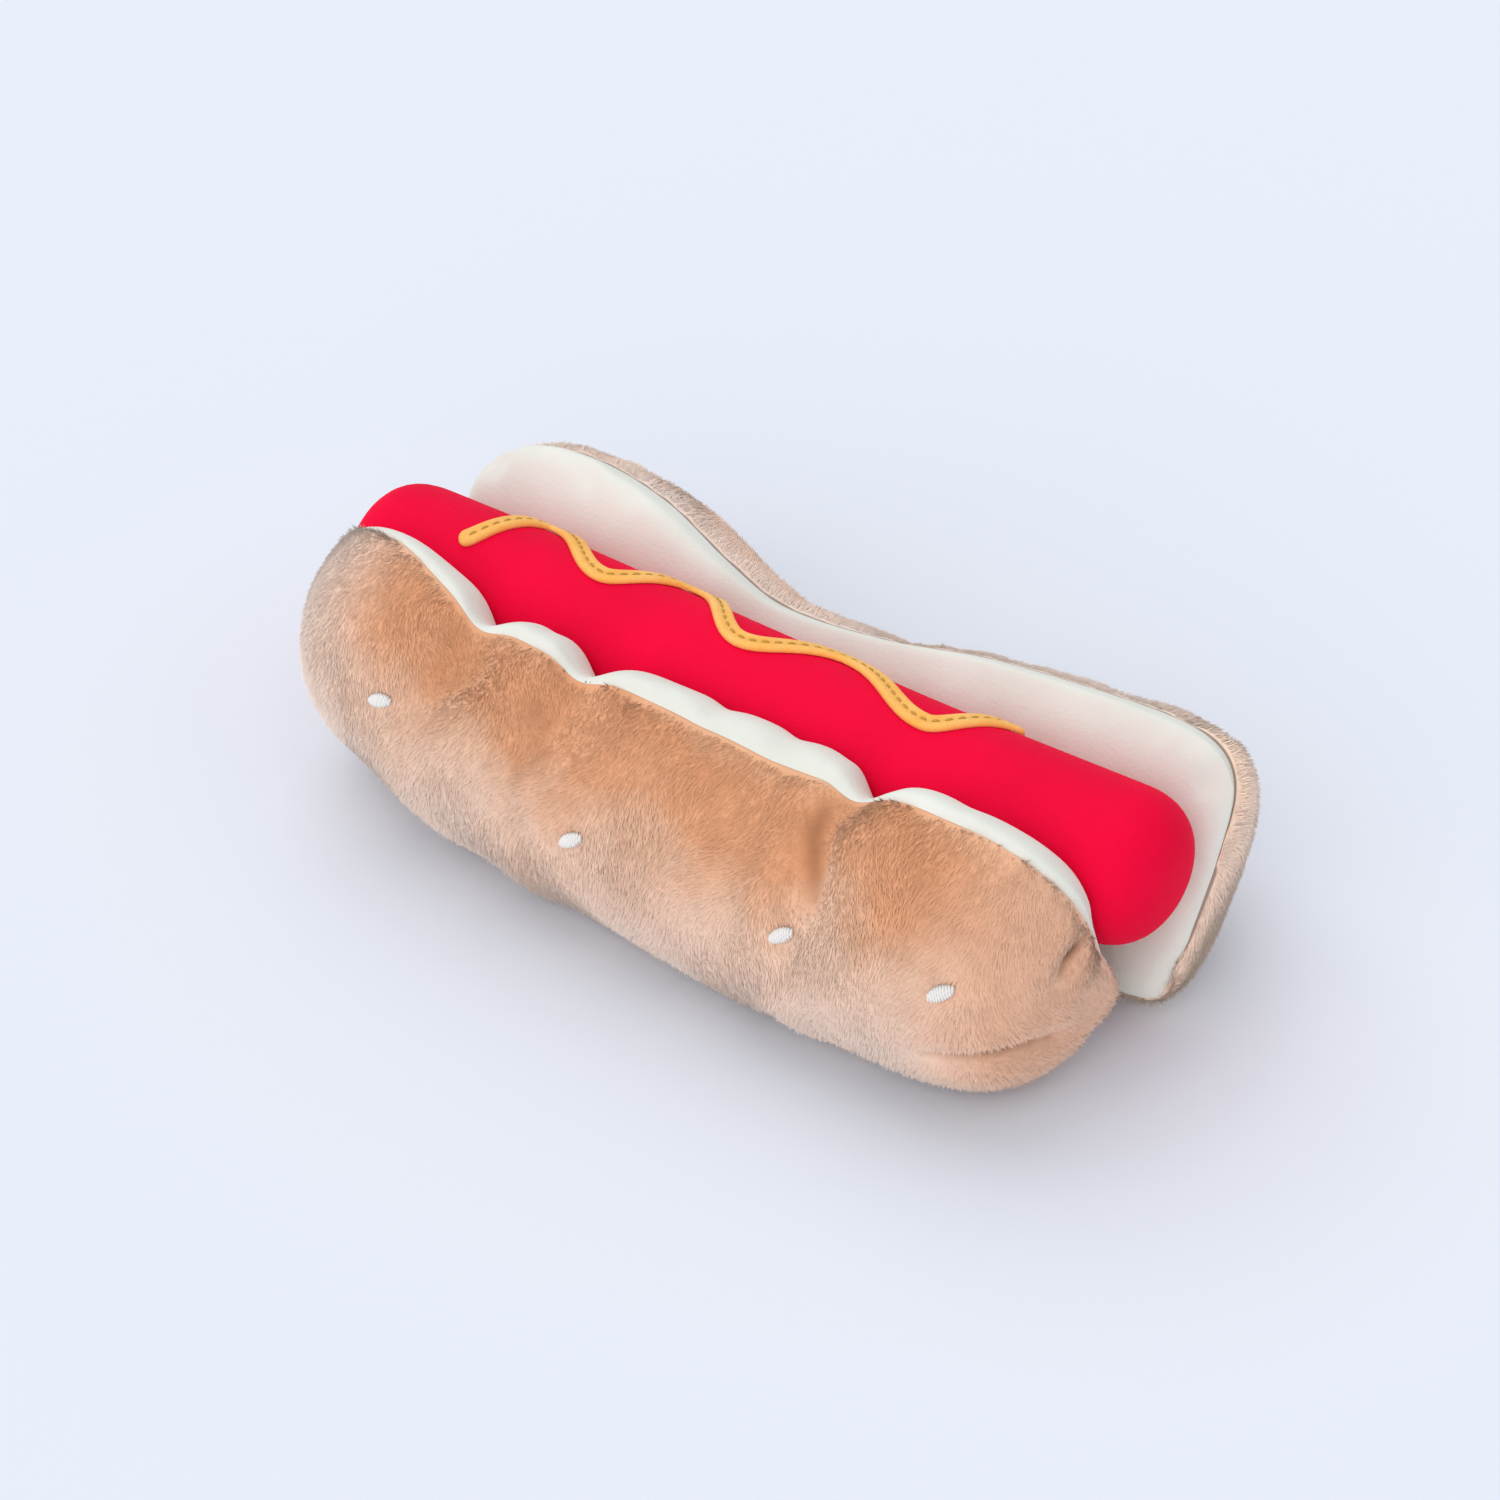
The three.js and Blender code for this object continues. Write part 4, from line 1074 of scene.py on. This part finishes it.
def grow_pile(name, skin, hair, seed, length, bare_spots):
    mesh = skin.data
    mesh.calc_loop_triangles()
    points = mesh_points(mesh)
    normals = mesh_points(mesh, "normal")
    corners = np.array([t.vertices for t in mesh.loop_triangles])
    loops = np.array([t.loops for t in mesh.loop_triangles])
    uvs = np.zeros(len(mesh.loops) * 2)
    mesh.uv_layers[0].data.foreach_get("uv", uvs)
    uvs = uvs.reshape(-1, 2)
    a, b, c = (points[corners[:, k]] for k in range(3))
    ua, ub, uc = (uvs[loops[:, k]] for k in range(3))
    area = np.linalg.norm(np.cross(b - a, c - a), axis=1) / 2
    chance = np.random.default_rng(seed)
    picked = chance.choice(len(area), HAIR_COUNT, p=area / area.sum())
    u, v = chance.random((2, HAIR_COUNT))
    over = u + v > 1
    u[over], v[over] = 1 - u[over], 1 - v[over]
    mix = np.stack((1 - u - v, u, v), 1)[:, :, None]
    roots = (points[corners[picked]] * mix).sum(1)
    out = unit((normals[corners[picked]] * mix).sum(1))
    root_uv = (uvs[loops[picked]] * mix).sum(1)
    crease = (read_crease(mesh)[corners[picked]] * mix[:, :, 0]).sum(1)
    from_end = np.minimum(root_uv[:, 0], 1 - root_uv[:, 0])
    bare = (root_uv[:, 1] < SEAM_BARE) | (from_end < SEAM_BARE / END_TO_RIM)
    for base, ways in bare_spots:
        ahead, aside, above = ways @ (roots - base).T
        far = np.hypot(ahead / (SEED_LENGTH * SEED_BARE), aside / (SEED_WIDTH * SEED_BARE))
        bare |= (far < 1) & (np.abs(above) < 0.004)
    roots, out, root_uv, picked, crease = (v[~bare] for v in (roots, out, root_uv, picked, crease))
    count = len(roots)
    duv1, duv2 = (ub - ua)[picked], (uc - ua)[picked]
    turn = duv1[:, 0] * duv2[:, 1] - duv1[:, 1] * duv2[:, 0]
    turn = np.where(np.abs(turn) < 1e-12, 1e-12, turn)
    down = ((c - a)[picked] * duv1[:, :1] - (b - a)[picked] * duv2[:, :1]) / turn[:, None]
    down = unit(down - out * (down * out).sum(1)[:, None])
    beside = np.cross(out, down)
    brush = np.array([noise.noise(Vector(p) * BRUSH_SCALE) for p in roots])
    ruffle = np.array([noise.noise(Vector(p) * RUFFLE_SCALE + Vector((7, 3, 5))) for p in roots])
    swirl = 1.7 * brush * (0.3 + 0.7 * smooth_share(root_uv[:, 1], 0.02, 0.15))
    swirl += chance.normal(0, 0.16, count)
    lean = np.clip(1.1 + 0.3 * ruffle + chance.normal(0, 0.08, count), 0.4, 1.35)
    lay = down * np.cos(swirl)[:, None] + beside * np.sin(swirl)[:, None]
    way = out * np.cos(lean)[:, None] + lay * np.sin(lean)[:, None]
    reach = length * chance.uniform(0.65, 1.1, count) * (1 - CREASE_SHORTENS * crease)
    side = unit(np.cross(way, out))
    over = np.cross(way, side)

    pile = piece_from(name, row_of_hairs(count), hair)
    mesh = pile.data
    flat = mesh_points(mesh)
    which = np.clip(np.rint(flat[:, 0]).astype(int), 0, count - 1)
    is_tip = flat[:, 2] > 0.5
    thick = HAIR_WIDTH / HAIR_ROUNDNESS
    placed = roots[which] - out[which] * HAIR_ROOT + way[which] * (flat[:, 2] * reach[which])[:, None]
    placed += side[which] * ((flat[:, 0] - which) * thick)[:, None]
    placed += over[which] * (flat[:, 1] * thick)[:, None]
    placed[:, 2] = np.maximum(placed[:, 2], FLOOR_HAIR)
    mesh.vertices.foreach_set("co", placed.ravel())
    layer = mesh.uv_layers.new(name="UVMap")
    ends = np.zeros(len(mesh.loops), int)
    mesh.loops.foreach_get("vertex_index", ends)
    layer.data.foreach_set("uv", root_uv[which[ends]].ravel())
    tip = mesh.attributes.new("tip", "FLOAT", "POINT")
    tip.data.foreach_set("value", is_tip.astype(float))
    mesh.attributes.new("crease", "FLOAT", "POINT").data.foreach_set("value", crease[which])
    mesh.update()
    soft = unit(out * 0.94 + way * 0.14)
    mesh.normals_split_custom_set_from_vertices(soft[which])
    return pile


for name, layer, hair, seed, length in (
    ("front", "under", front_pile, 11, 0.002),
    ("front", "top", front_pile, 12, 0.0027),
    ("back", "under", back_pile, 13, 0.002),
    ("back", "top", back_pile, 14, 0.0027),
):
    pile = grow_pile(f"{name}_{layer}_pile", skins[name], hair, seed, length, seed_places[name])
    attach(pile, f"{name}_half")

# Bun filling: the same loose white polyester fibre, one mass in each half, pushed in firmly between
# its plush and its lining before the last seam is sewn.
for name in ("front", "back"):
    filling = fibre_filling(f"{name}_fibre", f"{name}_stuffing", 0.0016, 0.0012)
    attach(filling, f"{name}_half")

# Hinge binding: where the two halves are sewn together under the sausage, their edges are rolled in
# one narrow strip of the plush's ground cloth, whipped over with tan thread.
BINDING_RADIUS = 0.00112
BINDING_WHIPS = 40
WHIP_THREAD = 0.0003
low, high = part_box("hinge_seam")


def binding_points(share, round_share):
    x = low.x + (high.x - low.x) * share
    angle = 2 * math.pi * round_share
    ends = np.sqrt(np.maximum(1 - np.abs(2 * share - 1) ** 60, 0))
    radius = BINDING_RADIUS * ends * (1 - 0.06 * np.abs(np.sin(math.pi * BINDING_WHIPS * share)))
    y = (low.y + high.y) / 2 - radius * np.sin(angle)
    return np.stack((x, y, HINGE_HEIGHT - radius * np.cos(angle)), 1)


binding = cloth_piece("hinge_binding", 320, 10, binding_points, plush_ground, closed=True)
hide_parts("hinge_seam")
threads = []
for k in range(BINDING_WHIPS):
    start = low.x + (high.x - low.x) * (k + 0.2) / BINDING_WHIPS
    angle = np.linspace(0, 2 * math.pi, 13)
    around = np.stack((np.zeros(13), -np.sin(angle), -np.cos(angle)), 1)
    line = np.stack((start + angle * 0.0003, 0 * angle, 0 * angle), 1) + around * BINDING_RADIUS
    threads.append((line + np.array((0, (low.y + high.y) / 2, HINGE_HEIGHT)), around))
tan_thread = thread_material("tan_thread", (0.62, 0.36, 0.22, 1), 0.6)
whips = sewn_piece("hinge_whip_stitches", tan_thread, WHIP_THREAD, threads)
for part in (binding, whips):
    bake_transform(part)

# Tack stitches: three short bars of doubled cream thread, sewn through the front lining and the
# sausage's cover. They hold the front rim in against the sausage and make its notches.
TACK_THREAD = 0.0006
TACK_OPENING = 0.002
TACK_SPREAD = 0.0004
tack_thread = thread_material("cream_tack_thread", (0.72, 0.62, 0.48, 1), 0.6)
for number, place in enumerate(TACK_PLACES, 1):
    threads = []
    for offset in (-TACK_SPREAD, TACK_SPREAD):
        along = (place + offset - FRONT["ahead"]) / (FRONT["length"] / 2)
        rounds = np.linspace(2 * math.pi - 0.02, math.pi + 0.2, 300)
        lining_line = bun_points(FRONT, np.full_like(rounds, along), rounds, False, 0) - MIDDLE
        axis = float(sausage_axis(place + offset))
        gap = np.hypot(lining_line[:, 1], lining_line[:, 2] - axis) - SAUSAGE_RADIUS
        start = lining_line[np.argmax(gap < TACK_OPENING)]
        angle = math.atan2(start[1], start[2] - axis) * 0.9
        rise = np.array((0, math.sin(angle), math.cos(angle)))
        end = np.array((place + offset, 0, axis)) + SAUSAGE_RADIUS * rise
        steps = np.linspace(-0.15, 1.15, 9)[:, None]
        line = start + (end - start) * steps + rise * (0.0009 - 0.002 * (steps - 0.5) ** 2)
        threads.append((line + MIDDLE, rise))
    tack = sewn_piece(f"rim_tack_{number}", tack_thread, TACK_THREAD, threads)
    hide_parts(f"tack_stitch_{number}")
    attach(tack, "front_half")
    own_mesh(tack)
